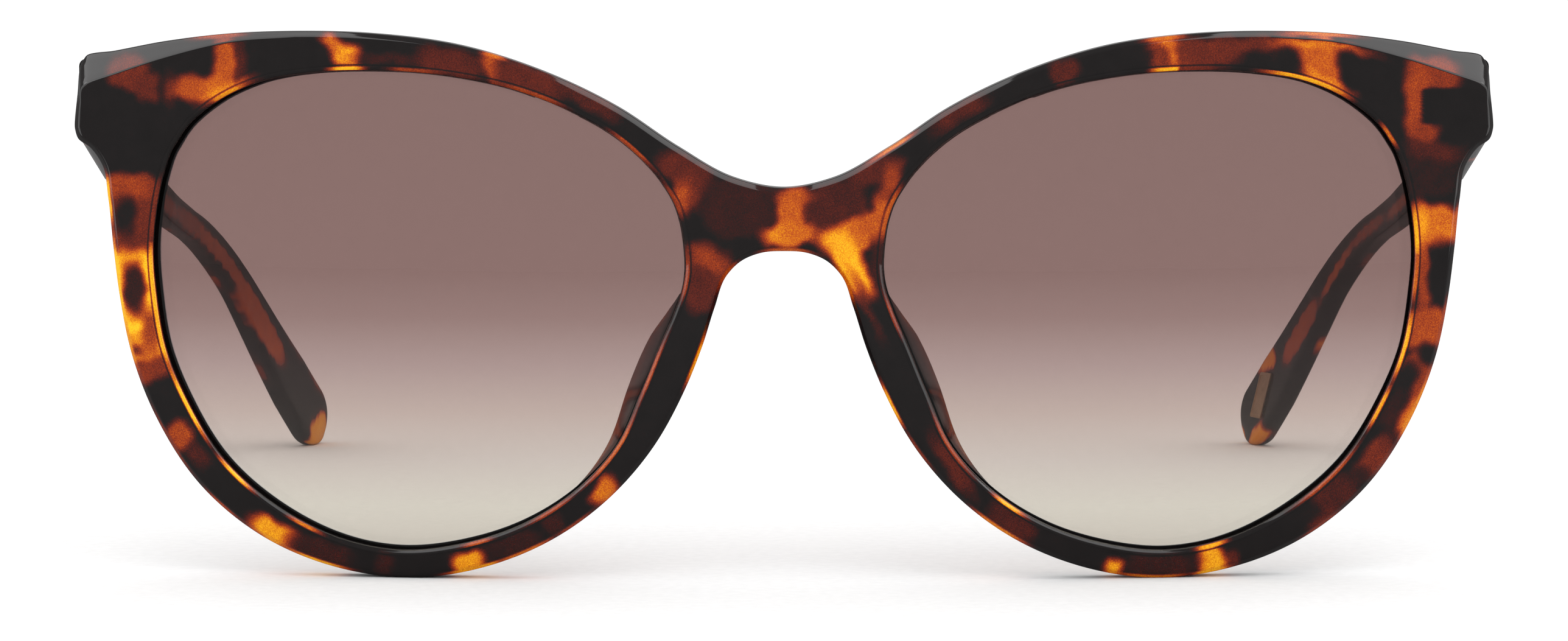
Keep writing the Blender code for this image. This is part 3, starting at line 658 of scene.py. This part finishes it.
def paint_front(piece, opening, outline, edges):
    """Paint the tortoiseshell's tone on the front, with its lit and dark edges."""
    co = positions(piece)
    x, depth, z = co[:, 0], co[:, 1], co[:, 2]
    flat = np.stack([np.abs(x), z], 1)
    from_opening = nearest(flat, flat_curve(opening))
    from_outline = nearest(flat, flat_curve(outline))
    tone = painted(x, z, PATCHES)
    # painted shade of the hinge pocket, seen through the plastic
    tone += (POCKET_SHADE[-1] - tone) * pocket_cover(x, z)
    # the bevel beside the lens glows where light comes through it, painted between two thin lines of
    # painted shade
    add_glow(tone, x, z, OPENING_GLOW, bump(from_opening, *GLOW_BAND))
    tone *= 1.0 - INNER_LINE_SHADE * bump(from_opening, *INNER_LINE)
    tone *= 1.0 - LENS_LINE_SHADE * bump(from_opening, *LENS_LINE)
    add_glow(tone, x, z, OUTER_GLOW, bump(from_outline, *OUTER_GLOW_BAND))
    # a thin line of painted shade along the big facets' lower edges
    facet_curve = flat_curve(edges[min(FACET_EDGE) * STEPS:max(FACET_EDGE) * STEPS + 1])
    tone *= 1.0 - FACET_LINE_SHADE * bump(nearest(flat, facet_curve), *FACET_LINE)
    # the backs of the nose pads catch more light, most of all beside the lenses
    behind = depth - np.array([front_depth(a, b) for a, b in zip(x, z)]) - RIM_THICKNESS
    pad = np.clip((behind - PAD_FROM) / PAD_BLEND, 0.0, 1.0) * (np.abs(x) < PAD_REACH_X)
    pad_tone = PAD_TONE + PAD_EXTRA_TONE * bump(from_opening, *PAD_LENS_SIDE)
    tone += (pad_tone - tone) * pad * PAD_STRENGTH
    set_attribute(piece, "tone", tone)


def build_front(material):
    """Half of the front as sections round the opening, mirrored, with the hinge pockets cut."""
    opening, outline = station_curves()
    edges = facet_edges(outline)
    sections = []
    for i, outer in enumerate(outline):
        sections.append(rim_section(i, opening[i], outer, edges[i], inward(outline, i)))
    middle = bridge_points(opening, outline, EDGE_BEVEL + FILLET)
    for i, point in enumerate(middle, start=len(outline)):
        sections.append(rim_section(i, opening[i], point, point, None))
    around = len(sections[0])
    half = [point for section in sections for point in section]
    quads = ring_faces(len(sections), around, closed_along=True)
    skin = [q for q in quads if any(abs(half[v].x) > 1e-6 for v in q)]
    mirrored = [Vector((-p.x, p.y, p.z)) for p in half]
    faces = skin + [tuple(v + len(half) for v in reversed(q)) for q in skin]
    front = make_piece("front_moulding", half + mirrored, faces, "front", material)
    gap = POCKET_CLEARANCE
    for side in (1.0, -1.0):
        xs = (side * (FRONT_LEAF_X[0] - gap), side * (FRONT_LEAF_X[1] + gap))
        ys = (FRONT_LEAF_Y[0] - gap, END_BACK + CUT_MARGIN)
        zs = (PIVOT_Z - HINGE_HALF_HEIGHT - gap, PIVOT_Z + HINGE_HALF_HEIGHT + SCREW_HEAD_ROOM)
        cut_box(front, xs, ys, zs)
    paint_front(front, opening, outline, edges)
    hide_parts("front_frame")


# ---- lenses

# Sizes of a lens face's rings, as shares of its outline
LENS_RING_SCALES = (
    0.04, 0.12, 0.2, 0.3, 0.4, 0.5, 0.6, 0.7, 0.78, 0.85, 0.9, 0.94, 0.965, 0.98, 0.99,
)
# Width in millimetres of the painted shade along the lens's ground edge, against the direction
# from the lens's middle: 0 is towards the temple, 90 is up, 270 is down
EDGE_SHADE_RIGHT = (
    (0, 0.80), (25, 0.66), (45, 0.40), (60, 0.20), (90, 0.12), (180, 0.10),
    (225, 0.15), (250, 0.35), (270, 0.48), (300, 0.60), (330, 0.72), (360, 0.80),
)
EDGE_SHADE_LEFT = (
    (0, 0.34), (30, 0.45), (50, 0.25), (90, 0.12), (180, 0.14), (205, 0.28),
    (225, 0.20), (250, 0.30), (270, 0.40), (300, 0.55), (330, 0.44), (360, 0.34),
)
# The band attribute is the distance from the opening in band widths, up to this
BAND_LIMIT = 4.0


def distance_by_direction(curve, centre):
    """Directions from a centre in degrees, in order, and the curve's distance in each."""
    rows = []
    for p in curve:
        turn = math.degrees(math.atan2(p.y - centre.y, p.x - centre.x)) % 360.0
        rows.append((turn, (p - centre).length))
    rows.sort()
    return [row[0] for row in rows], [row[1] for row in rows]


def paint_edge_shade(lens, opening, centre, shade_widths):
    """Store how far in from the opening each point of a lens is, in widths of the band of painted
    shade.
    """
    co = positions(lens)
    flat = np.stack([np.abs(co[:, 0]), co[:, 2]], 1)
    gap = nearest(flat, flat_curve(opening))
    turn = np.degrees(np.arctan2(flat[:, 1] - centre.y, flat[:, 0] - centre.x)) % 360.0
    width = np.interp(turn, [row[0] for row in shade_widths], [row[1] for row in shade_widths])
    outside = np.hypot(*(flat - np.array(centre)).T)
    limit = np.interp(turn, *distance_by_direction(opening, centre))
    gap = np.where(outside > limit, 0.0, gap)
    set_attribute(lens, "band", np.minimum(gap / width, BAND_LIMIT))


def build_lens(side_name, side, shade_widths, material):
    """A curved lens that reaches into the rim's groove, as rings round its middle on both faces."""
    opening, outline = station_curves()
    targets = outline + bridge_points(opening, outline, 0.0)
    reach = GROOVE_DEPTH - LENS_CLEARANCE
    rim = [p + (o - p).normalized() * reach for p, o in zip(opening, targets)]
    centre = sum(rim, Vector((0.0, 0.0))) / len(rim)
    chamfer = LENS_CLEARANCE + GROOVE_SLOPE
    front_gap = GROOVE_FRONT + LENS_CLEARANCE
    back_gap = GROOVE_BACK - LENS_CLEARANCE
    rings = [(scale, front_gap) for scale in LENS_RING_SCALES]
    rings += [(1.0, front_gap + chamfer), (1.0, back_gap - chamfer)]
    rings += [(scale, back_gap) for scale in reversed(LENS_RING_SCALES)]
    points = []
    for scale, depth in rings:
        for p in rim:
            q = centre.lerp(p, scale)
            points.append((q.x * side, front_depth(q.x, q.y) + depth, q.y))
    count = len(rim)
    faces = ring_faces(len(rings), count)
    for depth, start in ((front_gap, 0), (back_gap, (len(rings) - 1) * count)):
        hub = len(points)
        points.append((centre.x * side, front_depth(centre.x, centre.y) + depth, centre.y))
        faces += [(hub, start + k, start + (k + 1) % count) for k in range(count)]
    name = f"tinted_lens_{side_name}"
    lens = make_piece(name, points, faces, "front", material, sharp=50.0)
    paint_edge_shade(lens, opening, centre, shade_widths)
    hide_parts(f"lens_{side_name}")


# ---- temples

TEMPLE_STEP = 1.0
# Step of the reckoning along a temple's middle line
FRAME_STEP = 0.5
# Radius of a section's corners, and the most of its half size that they may take up
SECTION_CORNER = 0.75
SECTION_CORNER_SHARE = 0.9
SECTION_CORNER_STEPS = 5
# Points inside the top and bottom flats of a section, and inside its side flats
SECTION_FLATS = (5, 12)
TIP_STEPS = 12
# The flat that closes the tip: how far it is from the very end, and its share of the full size
TIP_CAP = (0.02, 0.06)
# Inner sides: (distance from the hinge, height, half length, half width, angle, tone)
TEMPLE_PATCHES = {
    "right": (
        (9, -0.6, 8, 2.2, 0, 0.44), (24, -2.4, 7, 1.6, 10, 0.55),
        (36, 1.8, 6, 1.2, 0, 0.3), (43, -1, 11, 1.2, 2, 0.5),
        (64, -0.6, 10, 1.1, 0, 0.52), (82, -0.4, 9, 1.2, 0, 0.52),
        (97, -0.5, 10, 1.1, 1, 0.58), (113, -0.7, 10, 1.8, 2, 0.6),
        (124, 3.2, 4, 0.8, 0, 0.36), (133, 3.3, 3, 0.8, 0, 0.42),
        (139, -2.2, 4.2, 3, -30, 0.82),
    ),
    "left": (
        (8, -1.2, 7, 2, 0, 0.42), (23, 1.8, 6, 1.6, -8, 0.52),
        (31, -2.2, 6, 1, 0, 0.4), (47, -1.4, 10, 0.9, 3, 0.5),
        (67, -0.6, 9, 0.8, 0, 0.6), (86, -0.3, 9, 0.8, 0, 0.54),
        (101, -0.7, 7, 0.7, -3, 0.62), (116, -0.5, 7, 1.5, 2, 0.56),
        (127.5, 3, 3.2, 1.6, 25, 0.74), (136.5, -3, 3.4, 1.2, 0, 0.78),
        (141, -0.6, 1.9, 3.2, 0, 0.84),
    ),
}
# The outer sides share one set of patches, shifted along one arm and turned over
TEMPLE_OUTER_PATCHES = (
    (4, 2.6, 3.4, 1.6, 20, 0.48), (9.5, -2, 3.8, 2, -15, 0.6),
    (17, 1.4, 2.6, 2.6, 30, 0.4), (24.5, -1.6, 3.4, 1.6, 10, 0.72),
    (33, 1.6, 3.8, 1.5, -20, 0.52), (41.5, -0.8, 2.8, 2.4, 15, 0.34),
    (49, 0.8, 3.6, 1.3, 25, 0.64), (57.5, -1, 2.8, 1.2, -10, 0.46),
    (66, 0.6, 4.2, 1.8, 12, 0.56), (76.5, -0.6, 2.4, 2, 20, 0.36),
    (84, 0.7, 3.8, 1, -12, 0.66), (94.5, -0.6, 3, 2.2, 15, 0.42),
    (104, 0.9, 3.6, 1.4, 10, 0.58), (114.5, -1.2, 3, 1.6, -25, 0.74),
    (124, 1.6, 3.8, 1.7, 15, 0.44), (133.5, -1.4, 3, 1.8, -20, 0.62),
)
OUTER_SHIFT = {"left": (0.0, 1.0), "right": (4.5, -1.0)}
OUTER_SOFT = 0.9
INNER_SOFT = 0.6
# How far in from the outer face the inner patches begin, and over what they fade in
INNER_FROM = 1.0
INNER_BLEND = 0.6


def temple_frames(stations):
    """Place and directions of the outer face's middle line at each distance from the hinge."""
    frames = {}
    place = Vector((OUTER_X, END_BACK + BUTT_GAP, PIVOT_Z))
    for k in range(int(TEMPLE_LENGTH / FRAME_STEP) + 1):
        at = k * FRAME_STEP
        pitch = math.radians(table(SIDE_ANGLES, at))
        yaw = math.radians(table(PLAN_ANGLES, at))
        level = math.cos(pitch)
        along = Vector((-math.sin(yaw) * level, math.cos(yaw) * level, -math.sin(pitch)))
        outward = Vector((math.cos(yaw), math.sin(yaw), 0.0))
        frames[at] = (place.copy(), along, outward, outward.cross(along))
        place += along * FRAME_STEP
    result = []
    for at in stations:
        low = math.floor(at / FRAME_STEP) * FRAME_STEP
        base, along, outward, up = frames[low]
        result.append((base + along * (at - low), along, outward, up))
    return result


def temple_section(middle, half_thickness, half_height):
    """Section points as (distance outward, height): flats between rounded corners."""
    corner = min(SECTION_CORNER, SECTION_CORNER_SHARE * min(half_height, half_thickness))
    right, left = middle + half_thickness - corner, middle - half_thickness + corner
    high = half_height - corner
    centres = ((right, high), (left, high), (left, -high), (right, -high))
    points = []
    for quarter, (x, z) in enumerate(centres):
        for k in range(SECTION_CORNER_STEPS + 1):
            a = 0.5 * math.pi * (quarter + k / SECTION_CORNER_STEPS)
            points.append(Vector((x + corner * math.cos(a), z + corner * math.sin(a))))
        after = centres[(quarter + 1) % 4]
        a = 0.5 * math.pi * (quarter + 1)
        offset = Vector((corner * math.cos(a), corner * math.sin(a)))
        start, end = Vector((x, z)) + offset, Vector(after) + offset
        inner = SECTION_FLATS[quarter % 2]
        points += [start.lerp(end, k / (inner + 1)) for k in range(1, inner + 1)]
    return points


def paint_temple(temple, side_name, side):
    """Paint a temple's tone, with one pattern outside and another inside."""
    co = positions(temple)
    co[:, 0] *= side
    stations = [FRAME_STEP * k for k in range(int(TEMPLE_LENGTH / FRAME_STEP) + 1)]
    bases, alongs, outwards, ups = (np.array(rows) for rows in zip(*temple_frames(stations)))
    best = ((co[:, None, :] - bases[None, :, :]) ** 2).sum(2).argmin(1)
    offset = co - bases[best]
    at = np.array(stations)[best] + (offset * alongs[best]).sum(1)
    height = (offset * ups[best]).sum(1)
    outward = (offset * outwards[best]).sum(1)
    inner = np.clip((-outward - INNER_FROM) / INNER_BLEND, 0.0, 1.0)
    shift, flip = OUTER_SHIFT[side_name]
    tone = painted(at + shift, height * flip, TEMPLE_OUTER_PATCHES, OUTER_SOFT)
    tone += (painted(at, height, TEMPLE_PATCHES[side_name], INNER_SOFT) - tone) * inner
    set_attribute(temple, "tone", tone)


def build_temple(side_name, side, material):
    """A temple as sections along its curved middle line, with the hinge leaf's recess cut."""
    body_end = TEMPLE_LENGTH - TIP_RADIUS
    plan = [(k * TEMPLE_STEP, 1.0) for k in range(int(body_end / TEMPLE_STEP))]
    turns = [0.5 * math.pi * k / TIP_STEPS for k in range(TIP_STEPS)]
    plan += [(body_end + TIP_RADIUS * math.sin(a), math.cos(a)) for a in turns]
    plan.append((TEMPLE_LENGTH - TIP_CAP[0], TIP_CAP[1]))
    frames = temple_frames([at for at, _ in plan])
    points = []
    for (at, fullness), (base, along, outward, up) in zip(plan, frames):
        thickness = table(THICKNESSES, at)
        half = 0.5 * thickness * (TIP_THINNEST + (1.0 - TIP_THINNEST) * fullness)
        height = 0.5 * table(HEIGHTS, at) * fullness
        section = temple_section(-0.5 * thickness, half, height)
        ring = [base + outward * p.x + up * p.y for p in section]
        # the first ring lies flat against the end piece
        if at == 0.0:
            ring = [p + along * ((END_BACK + BUTT_GAP - p.y) / along.y) for p in ring]
        points += ring
    around = len(points) // len(plan)
    faces = tube_faces(len(plan), around)
    points = [Vector((p.x * side, p.y, p.z)) for p in points]
    name = f"temple_{side_name}"
    temple = make_piece(f"temple_arm_{side_name}", points, faces, name, material)
    gap = RECESS_CLEARANCE
    xs = (side * (TEMPLE_LEAF_X[0] - CUT_MARGIN), side * (TEMPLE_LEAF_X[1] + gap))
    zs = (PIVOT_Z - HINGE_HALF_HEIGHT - gap, PIVOT_Z + HINGE_HALF_HEIGHT + gap)
    cut_box(temple, xs, (END_BACK - CUT_MARGIN, TEMPLE_LEAF_Y[1] + gap), zs)
    paint_temple(temple, side_name, side)
    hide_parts(name)


# How far the lozenge's corners are cut back, and its rings as (scale, depth below the top)
PLAQUE_CORNER = 0.3
PLAQUE_RINGS = ((1.0, PLAQUE_THICKNESS), (1.0, 0.06), (0.975, 0.0), (0.87, 0.0), (0.85, 0.07))


def build_plaque(material):
    """A plain lozenge with a raised border, on the inner face of the left tip."""
    (base, along, outward, up), = temple_frames([PLAQUE_AT])
    face = base - outward * (table(THICKNESSES, PLAQUE_AT) + PLAQUE_GAP)
    corners = [Vector(p) for p in PLAQUE_OUTLINE]
    centre = sum(corners, Vector((0.0, 0.0))) / len(corners)
    outline = []
    for k, p in enumerate(corners):
        before, after = corners[k - 1], corners[(k + 1) % len(corners)]
        start = p + (before - p).normalized() * PLAQUE_CORNER
        end = p + (after - p).normalized() * PLAQUE_CORNER
        outline += [start, start.lerp(p, 0.5).lerp(p.lerp(end, 0.5), 0.5), end]
    points = []
    for scale, depth in PLAQUE_RINGS:
        lift = PLAQUE_THICKNESS - depth
        for p in outline:
            q = centre.lerp(p, scale)
            points.append(face - outward * lift + along * q.x + up * q.y)
    faces = tube_faces(len(PLAQUE_RINGS), len(outline))
    plaque = make_piece(
        "tip_lozenge", points, faces, "temple_left", material, sharp=25.0)
    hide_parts("tip_plaque")


# ---- materials

PLASTIC_IOR = 1.5
# Heights in millimetres between which the lenses' tint is graded
TINT_FROM = 3.0
TINT_TO = 51.0


def linear(red, green, blue):
    """Linear colour, with alpha, from display values out of 255."""
    values = [c / 255.0 for c in (red, green, blue)]
    return (*[c / 12.92 if c <= 0.04045 else ((c + 0.055) / 1.055) ** 2.4 for c in values], 1.0)


def feed(tree, node, inputs):
    """Link each input from a socket, or set its value on the node's own socket."""
    for name, value in inputs.items():
        if isinstance(value, bpy.types.NodeSocket):
            tree.links.new(value, node.inputs[name])
        else:
            node.inputs[name].default_value = value


def add(tree, kind, inputs=None, **settings):
    made = tree.nodes.new(kind)
    for name, value in settings.items():
        setattr(made, name, value)
    feed(tree, made, inputs or {})
    return made


def maths(tree, operation, a, b=0.0, clamp=False):
    """The result of one sum, of numbers or sockets."""
    made = add(tree, "ShaderNodeMath", {0: a, 1: b}, operation=operation, use_clamp=clamp)
    return made.outputs[0]


def remap(tree, value, low, high, to_low, to_high):
    """A value's range carried over to another, and held inside it."""
    inputs = {"Value": value, "From Min": low, "From Max": high, "To Min": to_low, "To Max": to_high}
    return add(tree, "ShaderNodeMapRange", inputs).outputs["Result"]


def noise(tree, coords, size, detail=2.0, roughness=0.5):
    """Noise from 0 to 1 with features of about `size` millimetres."""
    inputs = {"Vector": coords, "Scale": 1.0 / (size * MM), "Detail": detail, "Roughness": roughness}
    return add(tree, "ShaderNodeTexNoise", inputs).outputs["Fac"]


def ramp(tree, value, stops):
    """Colour read off a value, from (position, colour) stops."""
    made = add(tree, "ShaderNodeValToRGB", {"Fac": value})
    elements = made.color_ramp.elements
    while len(elements) < len(stops):
        elements.new(1.0)
    for element, (position, colour) in zip(elements, stops):
        element.position = position
        element.color = colour
    return made.outputs["Color"]


def mix_colours(tree, blend, factor, a, b):
    """Two colours blended. A Mix node's colour sockets are inputs 6 and 7 and output 2."""
    made = add(tree, "ShaderNodeMix", {0: factor, 6: a, 7: b}, data_type="RGBA", blend_type=blend)
    return made.outputs[2]


def uneven(tree, shader, height, strength, distance):
    """Bump from a height, whose distance is in millimetres."""
    inputs = {"Strength": strength, "Distance": distance * MM, "Height": height}
    feed(tree, shader, {"Normal": add(tree, "ShaderNodeBump", inputs).outputs["Normal"]})


def new_material(name):
    """A material, with its node tree, its shader and the object's own coordinates."""
    material = bpy.data.materials.new(name)
    material.use_nodes = True
    tree = material.node_tree
    shader = tree.nodes["Principled BSDF"]
    coords = add(tree, "ShaderNodeTexCoord").outputs["Object"]
    return material, tree, shader, coords


def tortoise(name, roughness, grain):
    """Clear amber plastic with dark clouds: the mesh's tone, which also holds painted edge light,
    painted light on the nose pads and painted shade, broken up by fine speckle.
    """
    material, tree, shader, coords = new_material(name)
    tone = add(tree, "ShaderNodeAttribute", attribute_name="tone").outputs["Fac"]
    cloud = maths(tree, "SUBTRACT", noise(tree, coords, 1.8, 3.0), 0.5)
    speckle = maths(tree, "SUBTRACT", noise(tree, coords, 0.12, 1.5), 0.5)
    # grain shows most in the orange tones, and hardly at all in the black
    middle = maths(tree, "MULTIPLY", tone, maths(tree, "SUBTRACT", 1.35, tone))
    grainy = maths(tree, "MULTIPLY", speckle, maths(tree, "MULTIPLY", middle, grain))
    shifted = maths(tree, "ADD", tone, maths(tree, "MULTIPLY", cloud, 0.12))
    shifted = maths(tree, "ADD", shifted, grainy)
    colour = ramp(tree, shifted, (
        (0.0, linear(10, 7, 7)), (0.13, linear(20, 16, 16)),
        (0.24, linear(54, 16, 13)), (0.36, linear(92, 28, 15)),
        (0.5, linear(140, 48, 14)), (0.64, linear(184, 82, 14)),
        (0.8, linear(222, 136, 8)), (0.96, linear(252, 192, 28)),
    ))
    feed(tree, shader, {"Base Color": colour, "Roughness": roughness, "IOR": PLASTIC_IOR})
    uneven(tree, shader, noise(tree, coords, 2.6, 1.0), strength=0.05, distance=0.05)
    return material


def lens_tint():
    """Brown tint that fades downwards, with the ground edge painted dark as shade, a thin painted
    highlight just inside it, and clear to lamps.
    """
    material, tree, shader, coords = new_material("lens_tint")
    height = add(tree, "ShaderNodeSeparateXYZ", {"Vector": coords}).outputs["Z"]
    level = remap(tree, height, TINT_FROM * MM, TINT_TO * MM, 0.0, 1.0)
    tint = ramp(tree, level, (
        (0.0, linear(212, 206, 194)), (0.09, linear(210, 204, 192)),
        (0.19, linear(196, 185, 177)), (0.29, linear(182, 164, 156)),
        (0.39, linear(163, 141, 137)), (0.49, linear(142, 116, 112)),
        (0.58, linear(132, 105, 101)), (1.0, linear(130, 103, 99)),
    ))
    band = add(tree, "ShaderNodeAttribute", attribute_name="band").outputs["Fac"]
    # painted shade along the lens edge beside the rim, ending in a thin pale painted highlight
    edge = ramp(tree, maths(tree, "MULTIPLY", band, 0.5), (
        (0.0, (0.004, 0.003, 0.003, 1.0)), (0.4, (0.004, 0.004, 0.005, 1.0)),
        (0.455, (0.75, 0.8, 0.85, 1.0)), (0.5, (1.0, 1.0, 1.0, 1.0)),
    ))
    colour = mix_colours(tree, "MULTIPLY", 1.0, tint, edge)
    clear_plastic = {"Roughness": 0.0, "IOR": PLASTIC_IOR, "Transmission Weight": 1.0}
    feed(tree, shader, {"Base Color": colour, **clear_plastic})
    clear = add(tree, "ShaderNodeBsdfTransparent", {"Color": tint})
    shadow = add(tree, "ShaderNodeLightPath").outputs["Is Shadow Ray"]
    mixed = add(tree, "ShaderNodeMixShader", {0: shadow, 1: shader.outputs[0], 2: clear.outputs[0]})
    feed(tree, tree.nodes["Material Output"], {"Surface": mixed.outputs[0]})
    return material


def brushed_metal(name, colour, rough, grain_size, stretch):
    """Metal with brush lines of a size in millimetres, packed closer along each axis by `stretch`."""
    material, tree, shader, coords = new_material(name)
    stretched = add(tree, "ShaderNodeMapping", {"Vector": coords, "Scale": stretch}).outputs[0]
    lines = noise(tree, stretched, grain_size, 2.0)
    patina = noise(tree, coords, 0.8, 3.0)
    base = ramp(tree, remap(tree, patina, 0.3, 0.7, 0.0, 1.0), (
        (0.0, [0.82 * c for c in colour[:3]] + [1.0]),
        (1.0, colour),
    ))
    roughness = remap(tree, lines, 0.3, 0.7, rough * 0.75, rough * 1.3)
    feed(tree, shader, {"Base Color": base, "Metallic": 1.0, "Roughness": roughness})
    uneven(tree, shader, lines, strength=0.25, distance=0.02)
    return material


def seen_in_gloss(tree):
    """1 for rays that come from a reflection, 0 for the eye and through the lenses."""
    path = add(tree, "ShaderNodeLightPath").outputs
    return maths(tree, "SUBTRACT", path["Is Glossy Ray"], path["Is Transmission Ray"], clamp=True)


def floor_material():
    material, tree, shader, coords = new_material("white_board")
    fibre = noise(tree, coords, 1.2, 4.0)
    base = ramp(tree, fibre, ((0.3, (0.80, 0.80, 0.80, 1.0)), (0.7, (0.84, 0.84, 0.84, 1.0))))
    dimmed = mix_colours(tree, "MIX", seen_in_gloss(tree), base, (0.22, 0.22, 0.22, 1.0))
    feed(tree, shader, {"Base Color": dimmed, "Roughness": 0.35, "Specular IOR Level": 0.0})
    uneven(tree, shader, fibre, strength=0.1, distance=0.1)
    return material


# ---- stage, light and camera

# In metres from here on, apart from the camera's focal length and sensor
CAMERA_HEIGHT = 0.0701
CAMERA_DISTANCE = 0.560
AIM_HEIGHT = 0.0263
FOCAL_LENGTH = 129.5
SENSOR_WIDTH = 36.0
FRONT_PLANE = -DEPTH_SHIFT * MM
FLOOR_SIZE = 8.0
AMBIENT = 1.35
GLOSSY_AMBIENT = 0.3
LIGHTS_AIM = (0.0, -0.07, 0.03)


def point_at(made, place, aim):
    made.location = place
    made.rotation_euler = (Vector(aim) - Vector(place)).to_track_quat("-Z", "Y").to_euler()


def build_floor():
    half = 0.5 * FLOOR_SIZE
    mesh = bpy.data.meshes.new("floor")
    corners = [(-half, -half, 0.0), (half, -half, 0.0), (half, half, 0.0), (-half, half, 0.0)]
    mesh.from_pydata(corners, [], [(0, 1, 2, 3)])
    floor = new_object("floor", mesh)
    mesh.materials.append(floor_material())


def build_world():
    """White all round for the eye and through glass; dimmer where only gloss sees it."""
    world = bpy.data.worlds.new("studio")
    bpy.context.scene.world = world
    world.use_nodes = True
    tree = world.node_tree
    strength = remap(tree, seen_in_gloss(tree), 0.0, 1.0, AMBIENT, GLOSSY_AMBIENT)
    feed(tree, tree.nodes["Background"], {"Color": (1.0, 1.0, 1.0, 1.0), "Strength": strength})


def area_light(name, place, aim, size, radiance):
    """A softbox of a size in metres, as bright as `radiance`, aimed at a point."""
    data = bpy.data.lights.new(name, "AREA")
    data.shape = "RECTANGLE"
    data.size, data.size_y = size
    data.energy = radiance * math.pi * size[0] * size[1]
    lamp = new_object(name, data)
    point_at(lamp, place, aim)
    return lamp


def build_lights():
    """Two softboxes overhead and one at each side, which only gloss sees, and a soft key."""
    reflections = (
        area_light("top_card_left", (0.42, -0.12, 0.5), (0.42, -0.12, 0.0), (0.6, 0.56), 1.9),
        area_light("top_card_right", (-0.42, -0.12, 0.5), (-0.42, -0.12, 0.0), (0.6, 0.56), 1.9),
        area_light("left_card", (0.55, -0.15, 0.2), LIGHTS_AIM, (0.4, 0.4), 1.4),
        area_light("right_card", (-0.55, -0.15, 0.2), LIGHTS_AIM, (0.4, 0.4), 1.4),
    )
    for card in reflections:
        card.visible_diffuse = False
    key = area_light("key_softbox", (0.15, -0.5, 0.6), LIGHTS_AIM, (0.5, 0.5), 0.9)
    key.visible_glossy = False


def build_camera():
    """A long lens a little above the glasses, almost square on."""
    data = bpy.data.cameras.new("camera")
    data.lens = FOCAL_LENGTH
    data.sensor_width = SENSOR_WIDTH
    data.clip_start = 0.01
    camera = new_object("camera", data)
    place = (0.0, FRONT_PLANE - CAMERA_DISTANCE, CAMERA_HEIGHT)
    point_at(camera, place, (0.0, FRONT_PLANE, AIM_HEIGHT))
    bpy.context.scene.camera = camera


def finish_cad_nodes(materials):
    """Better materials for the CAD parts that stay as they are, by a word in their names."""
    for name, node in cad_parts.items():
        for word, material in materials.items():
            if word in name:
                node.data.materials[0] = material


def main():
    build_camera()
    bpy.context.scene.view_settings.view_transform = "Standard"
    build_world()
    build_lights()
    build_floor()
    build_front(tortoise("front_tortoise", roughness=0.06, grain=0.95))
    tint = lens_tint()
    build_lens("left", 1.0, EDGE_SHADE_LEFT, tint)
    build_lens("right", -1.0, EDGE_SHADE_RIGHT, tint)
    arm_plastic = tortoise("temple_tortoise", roughness=0.16, grain=0.5)
    build_temple("left", 1.0, arm_plastic)
    build_temple("right", -1.0, arm_plastic)
    build_plaque(brushed_metal("rose_gold", (0.98, 0.66, 0.42, 1.0), 0.3, 0.1, (1.0, 1.0, 8.0)))
    finish_cad_nodes({
        "leaf": brushed_metal("hinge_steel", (0.62, 0.60, 0.57, 1.0), 0.28, 0.08, (1.0, 1.0, 10.0)),
        "screw": brushed_metal("screw_steel", (0.66, 0.64, 0.60, 1.0), 0.22, 0.08, (1.0, 1.0, 10.0)),
        "core_wire": brushed_metal("wire_steel", (0.60, 0.60, 0.60, 1.0), 0.3, 0.1, (1.0, 0.1, 1.0)),
    })


main()
